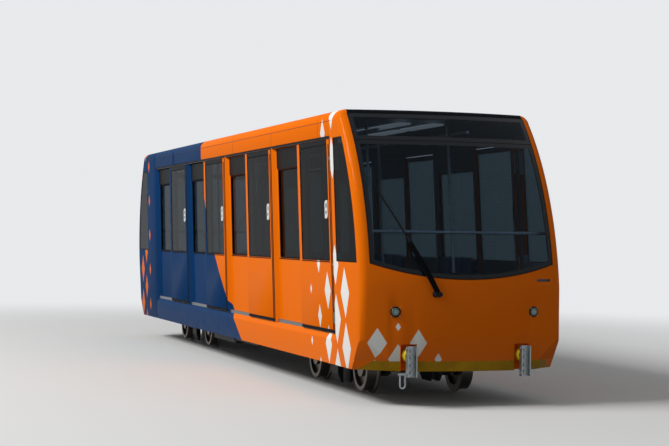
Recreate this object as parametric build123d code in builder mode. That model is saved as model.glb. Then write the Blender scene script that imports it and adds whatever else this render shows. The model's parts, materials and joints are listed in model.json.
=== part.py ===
"""Funicular car for a metre-gauge track: an inclined-frame car with four single sliding doors on each side.

Millimetres. +X points to the downhill end, +Y to the left, +Z up. The rails run along X and z = 0 is the
lowest point of the wheel flanges. Pillars, doors and windows lean back by LEAN so that they stand upright on
the slope, while sills, belt and roof follow the track. Places along the car are given where they cross the
height LEAN_Z.
"""
from build123d import *

import os
from math import sqrt

os.makedirs("parts", exist_ok=True)

# Heights above the floor that the flanges stand on
FLANGE = 28
SKIRT_LOW = 358
CHAMFER_LOW = 618
CHAMFER_TOP = 678
DECK_TOP = 688
DECK_THICK = 60
BELT = 1433
ROOF_TOP = 3028
HEADER_DEEP = 270
HEADER_LOW = ROOF_TOP - HEADER_DEEP

# Body shell
HALF_WIDTH = 1090
WALL = 60
ROOF_WALL = 50
COVE = 110
HEADER_LIP = 40
LEAN = -0.15
LEAN_Z = 1528
SKIRT_SKIN = 30
CHAMFER_DEPTH = 30
DECK_INSET = 95
DECK_HALF = HALF_WIDTH - DECK_INSET

# Ends: the face is a surface of revolution about an upright axis
FRONT = 5465
REAR = 5639
BULGE_RADIUS = 4200
CORNER = 90
# columns: height, distance of the face ahead of FRONT at the side corner
FACE_LOW = (150, 535)
FACE_CREASE = (1198, 535)
FACE_MIDDLE = (2108, 290)
FACE_HIGH = (ROOF_TOP + 100, -440)

# Glass of the ends
END_GLASS = 10
GLASS_INSET = 100
GLASS_HALF = HALF_WIDTH - GLASS_INSET
GLASS_DIP = 1278
GLASS_SEAM = HEADER_LOW - 64
BROW_TOP = ROOF_TOP - 43
REBATE = 25
BEAM = 60
PANE_GAP = 6
QUARTER_START = 5165
QUARTER_EDGE = 100
REAR_QUARTER_START = 640
SIDE_GLASS = 6
REVEAL = 20
FIT = 0.3

# Valance and the bevel of the lower corners
VALANCE_TOP = 458
VALANCE_START = 5790
BEVEL_WIDE = 310
BEVEL_TALL = 290
# columns: distance ahead of FRONT, half width and height of the bevel's three corners
BEVEL = [(550, HALF_WIDTH - BEVEL_WIDE, SKIRT_LOW), (280, HALF_WIDTH, SKIRT_LOW),
         (490, HALF_WIDTH, SKIRT_LOW + BEVEL_TALL)]

# Doors: four modules on each side, each a leaf that slides back over a fixed panel
PITCH = 2405
LEAD_FRONT = 5005
MODULES = 4
LEAF_WIDTH = 1235
LEAF_OUTER = HALF_WIDTH - 5
LEAF_THICK = 38
REAR_STILE = 95
LEAD_STILE = 85
TOP_RAIL = 45
SEAL = 44
SEAL_GAP = 6
SEAL_SHY = 3
DOORWAY = 1060
TRACK_HIGH = 38
TRACK_TOP = CHAMFER_TOP + TRACK_HIGH
RUNNER_GAP = 0.5
GUIDE_DEEP = 25
GUIDE_GAP = 8
GUIDE_INSET = 5
PANEL_INSET = 55
PANEL_OUTER = HALF_WIDTH - PANEL_INSET
PANEL_THICK = 40
TRANSOM = 278
PANEL_WINDOW_TOP = HEADER_LOW - TRANSOM
PILLAR_FLAT = 10
PILLAR_SLANT = 65
HANDLE_SIZE = (100, 190)
HANDLE_ROUND = 20
HANDLE_THICK = 3
HANDLE_HEIGHT = 1980
HANDLE_INSET = 158

# Running gear
BOGIE_CENTRE = 3700
WHEELBASE = 1700
AXLE_RADIUS = 55
TREAD_RADIUS = 250
WHEEL_CENTRE = 540
AXLE_Z = TREAD_RADIUS + FLANGE
SILL_Y = 330
SILL_LOW = 468
BOGIE_TOP = 408
BOGIE_LOW = 318
BOGIE_SIDE = 360

# Fittings of the ends
LAMP_Y = 746
LAMP_Z = 950
LAMP_RADIUS = 45
LAMP_PROUD = 12
BUFFER_Y = 610
BUFFER_LOW = 306
BUFFER_HIGH = 613
BUFFER_WIDE = 100
BUFFER_REACH = 120
NOTCH = 170
NOTCH_CLEAR = 15
SLOT_Y = 870
SLOT_Z = 1268
SLOT_SIZE = (168, 28)


def lean(s, z):
    """Real x of a point at place s along the car and height z on a leaning line."""
    return s + LEAN * (z - LEAN_Z)


def leaning_box(s0, s1, z0, z1):
    """Corners of a leaning window, door or panel in the side view."""
    return [(lean(s0, z0), z0), (lean(s1, z0), z0), (lean(s1, z1), z1), (lean(s0, z1), z1)]


def save(part, name):
    """Label one finished piece and write it to its own file."""
    part.label = name
    export_step(part, f"parts/{name}.step")
    print(f"{name:24s} solids {len(part.solids()):3d}  volume {part.volume / 1e6:10.2f} l")


LEADS = [LEAD_FRONT - n * PITCH for n in range(MODULES)]
REAR_PILLAR = LEAD_FRONT - MODULES * PITCH
FRONT_JOINT = LEAD_FRONT + SEAL_GAP + SEAL
REAR_JOINT = REAR_PILLAR + SEAL_GAP + SEAL
SAGITTA = BULGE_RADIUS - sqrt(BULGE_RADIUS ** 2 - HALF_WIDTH ** 2)
LEAF_INNER = LEAF_OUTER - LEAF_THICK
PANEL_INNER = PANEL_OUTER - PANEL_THICK
FAR = 8000
SIGNS = {"front": 1, "rear": -1}


def face_x(end, z, ahead):
    """Place of the end's face at the side corner for a height and its distance ahead of FRONT."""
    if end == "front":
        return FRONT + ahead
    return -REAR - ahead + 2 * LEAN * (z - LEAN_Z)


def end_rows(end, inset):
    """Points of the end's profile in the middle plane, moved in by inset."""
    rows = (FACE_LOW, FACE_CREASE, FACE_MIDDLE, FACE_HIGH)
    return [(face_x(end, z, ahead) + SIGNS[end] * (SAGITTA - inset), z) for z, ahead in rows]


def bulge(y):
    """How far the end's face falls back at y from its middle."""
    return BULGE_RADIUS - sqrt(BULGE_RADIUS ** 2 - y ** 2)


def face_low(end, y, z):
    """x of the face at y for a height below the crease."""
    return face_x(end, z, FACE_LOW[1]) + SIGNS[end] * (SAGITTA - bulge(y))


def face_point(end, y, z, clear=0):
    """Point on the end's face at y and z, moved out by clear along X."""
    low, crease, middle, high = end_rows(end, 0)
    axis_x = crease[0] - SIGNS[end] * BULGE_RADIUS
    if z <= crease[1]:
        profile = face_low(end, 0, z)
    else:
        profile = arc_x(crease, middle, high, z, SIGNS[end])
    radius = abs(profile - axis_x)
    return Vector(axis_x + SIGNS[end] * (sqrt(radius ** 2 - y ** 2) + clear), y, z)


def arc_x(a, b, c, z, sign):
    """x at the height z on the circle through three points of a side view."""
    (ax, az), (bx, bz), (cx, cz) = a, b, c
    d = 2 * (ax * (bz - cz) + bx * (cz - az) + cx * (az - bz))
    sa, sb, sc = ax * ax + az * az, bx * bx + bz * bz, cx * cx + cz * cz
    mx = (sa * (bz - cz) + sb * (cz - az) + sc * (az - bz)) / d
    mz = (sa * (cx - bx) + sb * (ax - cx) + sc * (bx - ax)) / d
    return mx + sign * sqrt((ax - mx) ** 2 + (az - mz) ** 2 - (z - mz) ** 2)


def end_form(end, inset):
    """Solid of revolution about an upright axis, whose surface is the raked and bulged face of one end."""
    low, crease, middle, high = end_rows(end, inset)
    axis_x = crease[0] + SIGNS[end] * (inset - BULGE_RADIUS)
    with BuildPart() as form:
        with BuildSketch(Plane.XZ):
            with BuildLine():
                Polyline((axis_x, low[1]), low, crease)
                ThreePointArc(crease, middle, high)
                Polyline(high, (axis_x, high[1]), (axis_x, low[1]))
            make_face()
        revolve(axis=Axis((axis_x, 0, 0), (0, 0, 1)))
    return form.part


def end_block(end, inset, top, low):
    """The body's section run out to one end and closed by its bulged face, from the joint outwards."""
    joint, sign = (FRONT_JOINT, 1) if end == "front" else (REAR_JOINT, -1)
    cove = max(COVE - inset, 5)
    far, high = sign * FAR, 2 * ROOF_TOP
    with BuildPart() as block:
        with BuildSketch(Plane.YZ):
            with Locations((0, (low + top) / 2)):
                Rectangle(2 * (HALF_WIDTH - inset), top - low)
        extrude(amount=far)
        fillet(edges().filter_by(Axis.X).group_by(Axis.Z)[-1], radius=cove)
        with BuildSketch(Plane.XZ):
            Polygon((lean(joint, 0), 0), (far, 0), (far, high), (lean(joint, high), high), align=None)
        extrude(amount=2 * HALF_WIDTH, both=True, mode=Mode.INTERSECT)
        add(end_form(end, inset), mode=Mode.INTERSECT)
    return block.part


def rounded_block(end):
    """The outer block of one end with the rounding between its face and its sides and roof."""
    with BuildPart() as block:
        add(end_block(end, 0, ROOF_TOP, SKIRT_LOW))
        joint = (FRONT_JOINT if end == "front" else -REAR_JOINT) + 100
        rim = [e for e in block.edges() if SIGNS[end] * e.center().X > joint and e.center().Z > SKIRT_LOW + 1]
        rim = [e for e in rim if abs(e.center().Y) > 1 and e.geom_type != GeomType.CIRCLE]
        rim = [e for e in rim if not (e.geom_type == GeomType.LINE and abs(e.tangent_at(0).X) > 0.9)]
        fillet(rim, radius=CORNER)
    return bevelled(block.part, end, 0)


def bevelled(solid, end, inset):
    """The solid with its two lower corners cut by slanting planes, moved in by inset."""
    with BuildPart() as block:
        add(solid)
        for side in (-1, 1):
            a, b, c = [Vector(face_x(end, z, ahead), side * y, z) for ahead, y, z in BEVEL]
            normal = (b - a).cross(c - a).normalized()
            if normal.Z < 0:
                normal = -normal
            split(bisect_by=Plane(origin=a + normal * inset, x_dir=b - a, z_dir=normal), keep=Keep.TOP)
    return block.part


def windscreen_shape(low_half, margin, top):
    """Front view of the end glass: upright sides and a lower edge that dips to the middle."""
    half = low_half - margin
    with BuildSketch(mode=Mode.PRIVATE) as shape:
        with BuildLine():
            low, high = BELT + margin, top - margin
            ThreePointArc((-half, low), (0, GLASS_DIP + margin), (half, low))
            Polyline((half, low), (half, high), (-half, high), (-half, low))
        make_face()
    return shape.sketch_local


def quarter_shape(end, margin):
    """Side view of the quarter window: a leaning edge, the belt, the raked edge and the header."""
    sign = SIGNS[end]
    low, high = BELT + margin, HEADER_LOW - REBATE - margin
    raked = [(face_x(end, z, ahead) - sign * (QUARTER_EDGE + margin), z)
             for z, ahead in (FACE_CREASE, FACE_MIDDLE, FACE_HIGH)]
    edge = [(arc_x(*raked, z, sign), z) for z in (low, (low + high) / 2, high)]
    start = (QUARTER_START if end == "front" else REAR_PILLAR - REAR_QUARTER_START) + sign * margin
    with BuildSketch(mode=Mode.PRIVATE) as shape:
        with BuildLine():
            ThreePointArc(*edge)
            Polyline(edge[2], (lean(start, high), high), (lean(start, low), low), edge[0])
        make_face()
    return shape.sketch_local


# End mouldings, valances and end glass
quarter_panes, lamps = [], []
for end in SIGNS:
    sign = SIGNS[end]
    outer = rounded_block(end)
    behind_glass = end_form(end, END_GLASS)
    glass_inside = end_form(end, END_GLASS - FIT)
    hollow = bevelled(end_block(end, WALL, ROOF_TOP - ROOF_WALL, SKIRT_LOW - WALL), end, WALL)
    with BuildPart() as rebate:
        with BuildSketch(Plane.YZ):
            add(windscreen_shape(GLASS_HALF, 0, BROW_TOP))
        extrude(amount=sign * FAR)
        add(behind_glass, mode=Mode.SUBTRACT)
    with BuildPart() as nose:
        add(outer)
        add(hollow, mode=Mode.SUBTRACT)
        add(rebate.part, mode=Mode.SUBTRACT)
        with BuildSketch(Plane.YZ):
            add(windscreen_shape(GLASS_HALF, REBATE, BROW_TOP))
            with Locations((0, GLASS_SEAM)):
                Rectangle(2 * GLASS_HALF, BEAM, mode=Mode.SUBTRACT)
        extrude(amount=sign * FAR, mode=Mode.SUBTRACT)
        with BuildSketch(Plane.XZ):
            add(quarter_shape(end, 0))
        extrude(amount=2 * HALF_WIDTH, both=True, mode=Mode.SUBTRACT)
        with BuildSketch(Plane.YZ):
            with Locations((-LAMP_Y, LAMP_Z), (LAMP_Y, LAMP_Z)):
                Circle(LAMP_RADIUS)
            with Locations((-BUFFER_Y, SKIRT_LOW), (BUFFER_Y, SKIRT_LOW)):
                Rectangle(NOTCH, 2 * (BUFFER_HIGH - SKIRT_LOW + NOTCH_CLEAR))
            with Locations((sign * SLOT_Y, SLOT_Z)):
                SlotOverall(*SLOT_SIZE)
        extrude(amount=sign * FAR, mode=Mode.SUBTRACT)
    valance_x = face_x(end, VALANCE_TOP, VALANCE_START - FRONT)
    with BuildPart() as below:
        with BuildSketch(Plane.XZ):
            with Locations(((valance_x + sign * FAR) / 2, VALANCE_TOP / 2)):
                Rectangle(FAR - abs(valance_x), VALANCE_TOP)
        extrude(amount=2 * HALF_WIDTH, both=True)
    with BuildPart() as valance:
        add(nose.part)
        add(below.part, mode=Mode.INTERSECT)
    with BuildPart() as moulding:
        add(nose.part)
        add(below.part, mode=Mode.SUBTRACT)
    save(moulding.part, f"nose_{end}")
    save(valance.part, f"valance_{end}")
    with BuildPart() as panes:
        add(outer)
        with BuildSketch(Plane.YZ):
            add(windscreen_shape(GLASS_HALF - FIT, 0, BROW_TOP - FIT))
            with Locations((0, GLASS_SEAM)):
                Rectangle(2 * HALF_WIDTH, PANE_GAP, mode=Mode.SUBTRACT)
        extrude(amount=sign * FAR, mode=Mode.INTERSECT)
        add(glass_inside, mode=Mode.SUBTRACT)
    save(panes.part, f"windscreen_{end}")
    with BuildPart() as quarter:
        with BuildSketch(Plane.XZ.offset(HALF_WIDTH - 4)):
            add(quarter_shape(end, FIT))
        extrude(amount=-SIDE_GLASS)
        mirror(about=Plane.XZ)
    quarter_panes += quarter.part.solids()
    with BuildPart() as pair:
        with BuildSketch(Plane.YZ.offset(face_low(end, LAMP_Y, LAMP_Z) - sign * WALL)):
            with Locations((-LAMP_Y, LAMP_Z), (LAMP_Y, LAMP_Z)):
                Circle(LAMP_RADIUS - FIT)
        extrude(amount=sign * (WALL + LAMP_PROUD))
        rims = pair.edges().filter_by(GeomType.CIRCLE).sort_by(Axis.X)
        chamfer(rims[-2:] if sign > 0 else rims[:2], length=8)
    lamps += pair.part.solids()
save(Compound(quarter_panes), "quarter_glass")
save(Compound(lamps), "headlamps")


def along(section, joint_front, joint_rear):
    """A section run along the car between two leaning joints."""
    with BuildPart() as run:
        with BuildSketch(Plane.YZ):
            add(section)
        extrude(amount=FAR, both=True)
        with BuildSketch(Plane.XZ):
            Polygon(*leaning_box(joint_rear, joint_front, 0, 2 * ROOF_TOP), align=None)
        extrude(amount=2 * HALF_WIDTH, both=True, mode=Mode.INTERSECT)
    return run.part


# Roof: flat top, rounded coves, headers above the doors and a lip that the side panels meet
with BuildSketch() as roof_section:
    with Locations((0, (HEADER_LOW + ROOF_TOP) / 2)):
        Rectangle(2 * HALF_WIDTH, ROOF_TOP - HEADER_LOW)
    fillet(vertices().group_by(Axis.Y)[-1], radius=COVE)
    with BuildSketch(mode=Mode.SUBTRACT):
        top = ROOF_TOP - ROOF_WALL
        with Locations((0, (HEADER_LOW + HEADER_LIP + top) / 2)):
            Rectangle(2 * (HALF_WIDTH - ROOF_WALL), top - HEADER_LOW - HEADER_LIP)
        fillet(vertices().group_by(Axis.Y)[-1], radius=COVE - ROOF_WALL)
    with Locations((0, HEADER_LOW + HEADER_LIP / 2)):
        Rectangle(2 * PANEL_INNER, HEADER_LIP, mode=Mode.SUBTRACT)
save(along(roof_section.sketch_local, FRONT_JOINT, REAR_JOINT), "roof_shell")

# Floor deck between the two end faces
beyond = []
for end, sign in SIGNS.items():
    with BuildPart() as ahead:
        with Locations((sign * (FAR / 2 + BOGIE_CENTRE), 0, DECK_TOP)):
            Box(FAR, 4 * HALF_WIDTH, 4 * DECK_THICK)
        add(end_form(end, WALL + FIT), mode=Mode.SUBTRACT)
    beyond.append(ahead.part)
with BuildPart() as deck:
    with Locations((0, 0, DECK_TOP - DECK_THICK / 2)):
        Box(2 * FAR, 2 * DECK_HALF, DECK_THICK)
    add(beyond, mode=Mode.SUBTRACT)
save(bevelled(bevelled(deck.part, "front", WALL + FIT), "rear", WALL + FIT), "floor_deck")

# Skirt: upright skin with a chamfer and a ledge that carries the door track
ledge_y = HALF_WIDTH - CHAMFER_DEPTH
skin_y = HALF_WIDTH - SKIRT_SKIN
ledge_low = CHAMFER_TOP - SKIRT_SKIN
skirt_points = [(HALF_WIDTH, SKIRT_LOW), (HALF_WIDTH, CHAMFER_LOW), (ledge_y, CHAMFER_TOP),
                (DECK_HALF, CHAMFER_TOP), (DECK_HALF, ledge_low), (ledge_y - SKIRT_SKIN, ledge_low),
                (skin_y, CHAMFER_LOW - SKIRT_SKIN), (skin_y, SKIRT_LOW)]
with BuildSketch() as skirt_section:
    Polygon(*[(-y, z) for y, z in skirt_points], align=None)
skirt = along(skirt_section.sketch_local, FRONT_JOINT, REAR_JOINT)

# Rails of the doors: the track on the ledge and the guide under the header
guide_y = (LEAF_INNER + LEAF_OUTER) / 2
with BuildSketch() as rail_section:
    with Locations((-(PANEL_OUTER + ledge_y) / 2, (CHAMFER_TOP + TRACK_TOP) / 2)):
        Rectangle(ledge_y - PANEL_OUTER, TRACK_TOP - CHAMFER_TOP)
    with Locations((-guide_y, HEADER_LOW - GUIDE_DEEP / 2)):
        Rectangle(LEAF_THICK - 2 * GUIDE_INSET, GUIDE_DEEP)
rails = along(rail_section.sketch_local, FRONT_JOINT, REAR_JOINT + PILLAR_FLAT + PILLAR_SLANT)

# Side wall: one panel per module with its window, and the slanted pillars that the leaves close against
PANEL_REARS = [lead - PITCH + SEAL_GAP + SEAL + PILLAR_FLAT + PILLAR_SLANT for lead in LEADS]
with BuildPart() as wall:
    with BuildSketch(Plane.XZ.offset(PANEL_INNER)):
        Polygon(*leaning_box(REAR_JOINT, FRONT_JOINT, CHAMFER_TOP, HEADER_LOW), align=None)
        for lead, rear in zip(LEADS, PANEL_REARS):
            doorway = leaning_box(lead - DOORWAY, lead + SEAL_GAP, TRACK_TOP, HEADER_LOW - GUIDE_DEEP)
            window = leaning_box(rear + REVEAL, lead - DOORWAY - 2 * REVEAL, BELT, PANEL_WINDOW_TOP)
            Polygon(*doorway, align=None, mode=Mode.SUBTRACT)
            Polygon(*window, align=None, mode=Mode.SUBTRACT)
    extrude(amount=PANEL_THICK)
    for lead in LEADS[1:] + [REAR_PILLAR]:
        start = lead + SEAL_GAP + SEAL
        foot = PILLAR_FLAT + PILLAR_SLANT
        plan = [(0, LEAF_OUTER), (PILLAR_FLAT, LEAF_OUTER), (foot, PANEL_OUTER), (foot, PANEL_INNER),
                (0, PANEL_INNER)]
        with BuildSketch(Plane.XY.offset(CHAMFER_TOP)):
            Polygon(*[(lean(start + x, CHAMFER_TOP), -y) for x, y in plan], align=None)
        extrude(amount=(HEADER_LOW - CHAMFER_TOP) * sqrt(1 + LEAN ** 2), dir=(LEAN, 0, 1))
    add(rails, mode=Mode.SUBTRACT)

# Fixed glass of the side wall
with BuildPart() as wall_glass:
    with BuildSketch(Plane.XZ.offset(PANEL_OUTER - REVEAL - SIDE_GLASS)):
        for lead, rear in zip(LEADS, PANEL_REARS):
            s0, s1 = rear + REVEAL + FIT, lead - DOORWAY - 2 * REVEAL - FIT
            Polygon(*leaning_box(s0, s1, BELT + FIT, PANEL_WINDOW_TOP - FIT), align=None)
    extrude(amount=SIDE_GLASS)

# Rubber seals that the leaves close against
with BuildPart() as seals:
    with BuildSketch(Plane.XZ.offset(LEAF_INNER)):
        for lead in LEADS:
            s0, s1 = lead + SEAL_GAP, lead + SEAL_GAP + SEAL - FIT
            Polygon(*leaning_box(s0, s1, TRACK_TOP + FIT, HEADER_LOW - GUIDE_DEEP - FIT), align=None)
    extrude(amount=LEAF_THICK - SEAL_SHY)

# Door leaf of the front module; the others are copies a pitch apart
leaf_low, leaf_high = TRACK_TOP + RUNNER_GAP, HEADER_LOW - GUIDE_DEEP - GUIDE_GAP
window_span = (-LEAF_WIDTH + REAR_STILE, -LEAD_STILE)
with BuildPart() as leaf:
    with BuildSketch(Plane.XZ.offset(LEAF_INNER)):
        Polygon(*leaning_box(-LEAF_WIDTH, 0, leaf_low, leaf_high), align=None)
        Polygon(*leaning_box(*window_span, BELT, leaf_high - TOP_RAIL), align=None, mode=Mode.SUBTRACT)
    extrude(amount=LEAF_THICK)
pane = leaning_box(window_span[0] + FIT, window_span[1] - FIT, BELT + FIT, leaf_high - TOP_RAIL - FIT)
with BuildPart() as leaf_glass:
    with BuildSketch(Plane.XZ.offset(LEAF_OUTER - REVEAL / 2)):
        Polygon(*pane, align=None)
    extrude(amount=SIDE_GLASS)
    with BuildSketch(Plane.XZ.offset(LEAF_OUTER - REVEAL / 2 + SIDE_GLASS)):
        with Locations((lean(-HANDLE_INSET, HANDLE_HEIGHT), HANDLE_HEIGHT)):
            RectangleRounded(*HANDLE_SIZE, HANDLE_ROUND)
    extrude(amount=HANDLE_THICK)

for part, name in ((rails, "door_rails"), (wall_glass.part, "wall_glass"), (seals.part, "door_seals")):
    with BuildPart() as pair:
        add(part)
        mirror(about=Plane.XZ)
    save(pair.part, name)
for side in ("right", "left"):
    for part, name in ((skirt, "skirt"), (wall.part, "side_wall")):
        with BuildPart() as piece:
            if side == "right":
                add(part)
            else:
                mirror(part, about=Plane.XZ)
        save(piece.part, f"{name}_{side}")
    for number, lead in enumerate(LEADS, 1):
        for part, name in ((leaf.part, "door"), (leaf_glass.part, "door_glass")):
            moved = part.moved(Location((lead, 0, 0)))
            with BuildPart() as piece:
                if side == "right":
                    add(moved)
                else:
                    mirror(moved, about=Plane.XZ)
            save(piece.part, f"{name}_{side}_{number}")

# Underframe: two channel sole bars, headstocks across their ends, cross members in three lengths, and a
# bolster with its pivot pin over each bogie
SILL_WIDE = 80
SILL_WALL = 14
PIVOT_RADIUS = 40
PIVOT_LOW = 340
BOLSTER_LOW = BOGIE_TOP + 22
BOLSTER_LONG = 320
BOLSTER_TAPER = 45
CROSS_LOW = 548
CROSS_WIDE = 90
CROSS_TIP = 40
CROSS_X = (-5250, -2250, -1200, 0, 1200, 2250, 5150)
HEAD_X = {"front": 5800, "rear": -5560}
HEAD_THICK = 90
HEAD_HALF = 740
CHASSIS_TOP = DECK_TOP - DECK_THICK
sill_inner = SILL_Y - SILL_WIDE / 2
sill_outer = SILL_Y + SILL_WIDE / 2
sill_middle = (SILL_LOW + CHASSIS_TOP) / 2
with BuildPart() as sole_bars:
    with BuildSketch(Plane.YZ.offset(HEAD_X["rear"] + HEAD_THICK / 2)):
        with Locations((-SILL_Y, sill_middle), (SILL_Y, sill_middle)):
            Rectangle(SILL_WIDE, CHASSIS_TOP - SILL_LOW)
        with Locations((-SILL_Y - SILL_WALL, sill_middle), (SILL_Y + SILL_WALL, sill_middle)):
            Rectangle(SILL_WIDE, CHASSIS_TOP - SILL_LOW - 2 * SILL_WALL, mode=Mode.SUBTRACT)
    extrude(amount=HEAD_X["front"] - HEAD_X["rear"] - HEAD_THICK)
save(sole_bars.part, "sole_bars")
with BuildPart() as headstocks:
    for x in HEAD_X.values():
        with BuildSketch(Plane.YZ.offset(x - HEAD_THICK / 2)):
            with Locations((0, sill_middle)):
                Rectangle(2 * HEAD_HALF, CHASSIS_TOP - SILL_LOW)
            chamfer(vertices().group_by(Axis.Y)[0], length=50)
        extrude(amount=HEAD_THICK)
save(headstocks.part, "headstocks")

# The outer lengths are brackets notched round the sole bar's top flange, and shallower at their tips
tip_y = DECK_HALF - 30
bracket_points = [(sill_inner + SILL_WALL, CROSS_LOW), (sill_inner + SILL_WALL, CHASSIS_TOP - SILL_WALL),
                  (sill_outer, CHASSIS_TOP - SILL_WALL), (sill_outer, CHASSIS_TOP), (tip_y, CHASSIS_TOP),
                  (tip_y, CHASSIS_TOP - CROSS_TIP), (tip_y - 70, CROSS_LOW)]
with BuildPart() as cross_members:
    for x in CROSS_X:
        with BuildSketch(Plane.YZ.offset(x - CROSS_WIDE / 2)):
            with Locations((0, (CROSS_LOW + CHASSIS_TOP) / 2)):
                Rectangle(2 * sill_inner, CHASSIS_TOP - CROSS_LOW)
            Polygon(*bracket_points, align=None)
            mirror(about=Plane.YZ)
        extrude(amount=CROSS_WIDE)
save(cross_members.part, "cross_members")
with BuildPart() as bolsters:
    for x in (-BOGIE_CENTRE, BOGIE_CENTRE):
        half = BOLSTER_LONG / 2
        with BuildSketch(Plane.XZ.offset(-sill_inner)):
            Polygon((x - half, CHASSIS_TOP), (x - half, SILL_LOW), (x - half + BOLSTER_TAPER, BOLSTER_LOW),
                    (x + half - BOLSTER_TAPER, BOLSTER_LOW), (x + half, SILL_LOW), (x + half, CHASSIS_TOP),
                    align=None)
        extrude(amount=2 * sill_inner)
        with Locations((x, 0, (PIVOT_LOW + BOLSTER_LOW) / 2)):
            Cylinder(PIVOT_RADIUS, BOLSTER_LOW - PIVOT_LOW)
save(bolsters.part, "bolsters")

# Bogies: fish-bellied side beams, cross beams, axle boxes between springs, centre plate and side bearers
BEAM_WIDE = 70
BEAM_BELLY = 56
BEAM_TIP = 280
AXLE_BOX = (190, 90, 200)
AXLE_FIT = 0.5
SPRING_REACH = 150
SPRING_RADIUS = 32
SPRING_SEAT = (400, 80, 18)
SPRING_LOW = 236
CENTRE_BEAM = 360
PLATE_RADIUS = 170
PLATE_HIGH = 20
BEARER_RADIUS = 26
BEARER_RING = 34
RUNNING = 2
HUB_RADIUS = 100
HUB_PROUD = 12
RIM_DEEP = 45
WHEEL_WIDE = 140
beam_low_middle = BOGIE_LOW - BEAM_BELLY
beam_middle = (BOGIE_TOP + BOGIE_LOW) / 2
beam_outer = BOGIE_SIDE + BEAM_WIDE / 2
axle_x = WHEELBASE / 2
tip_x = axle_x + BEAM_TIP
# columns: distance from the bogie's centre, height
beam_half = [(CENTRE_BEAM, beam_low_middle), (CENTRE_BEAM + 240, BOGIE_LOW), (tip_x - 60, BOGIE_LOW),
             (tip_x, BOGIE_LOW + 30), (tip_x, BOGIE_TOP - 25), (tip_x - 60, BOGIE_TOP)]
bearer_high = SILL_LOW - RUNNING
STANDING = (Align.CENTER, Align.CENTER, Align.MIN)
HANGING = (Align.CENTER, Align.CENTER, Align.MAX)

# Rail brakes: a housing beside each side beam, a cylinder on it and two jaws over the rail
RAIL_Y = 530
BRAKE_LONG = 340
BRAKE_LOW = 240
BRAKE_HIGH = 340
JAW_LONG = 260
CYLINDER_RADIUS = 42
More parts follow.
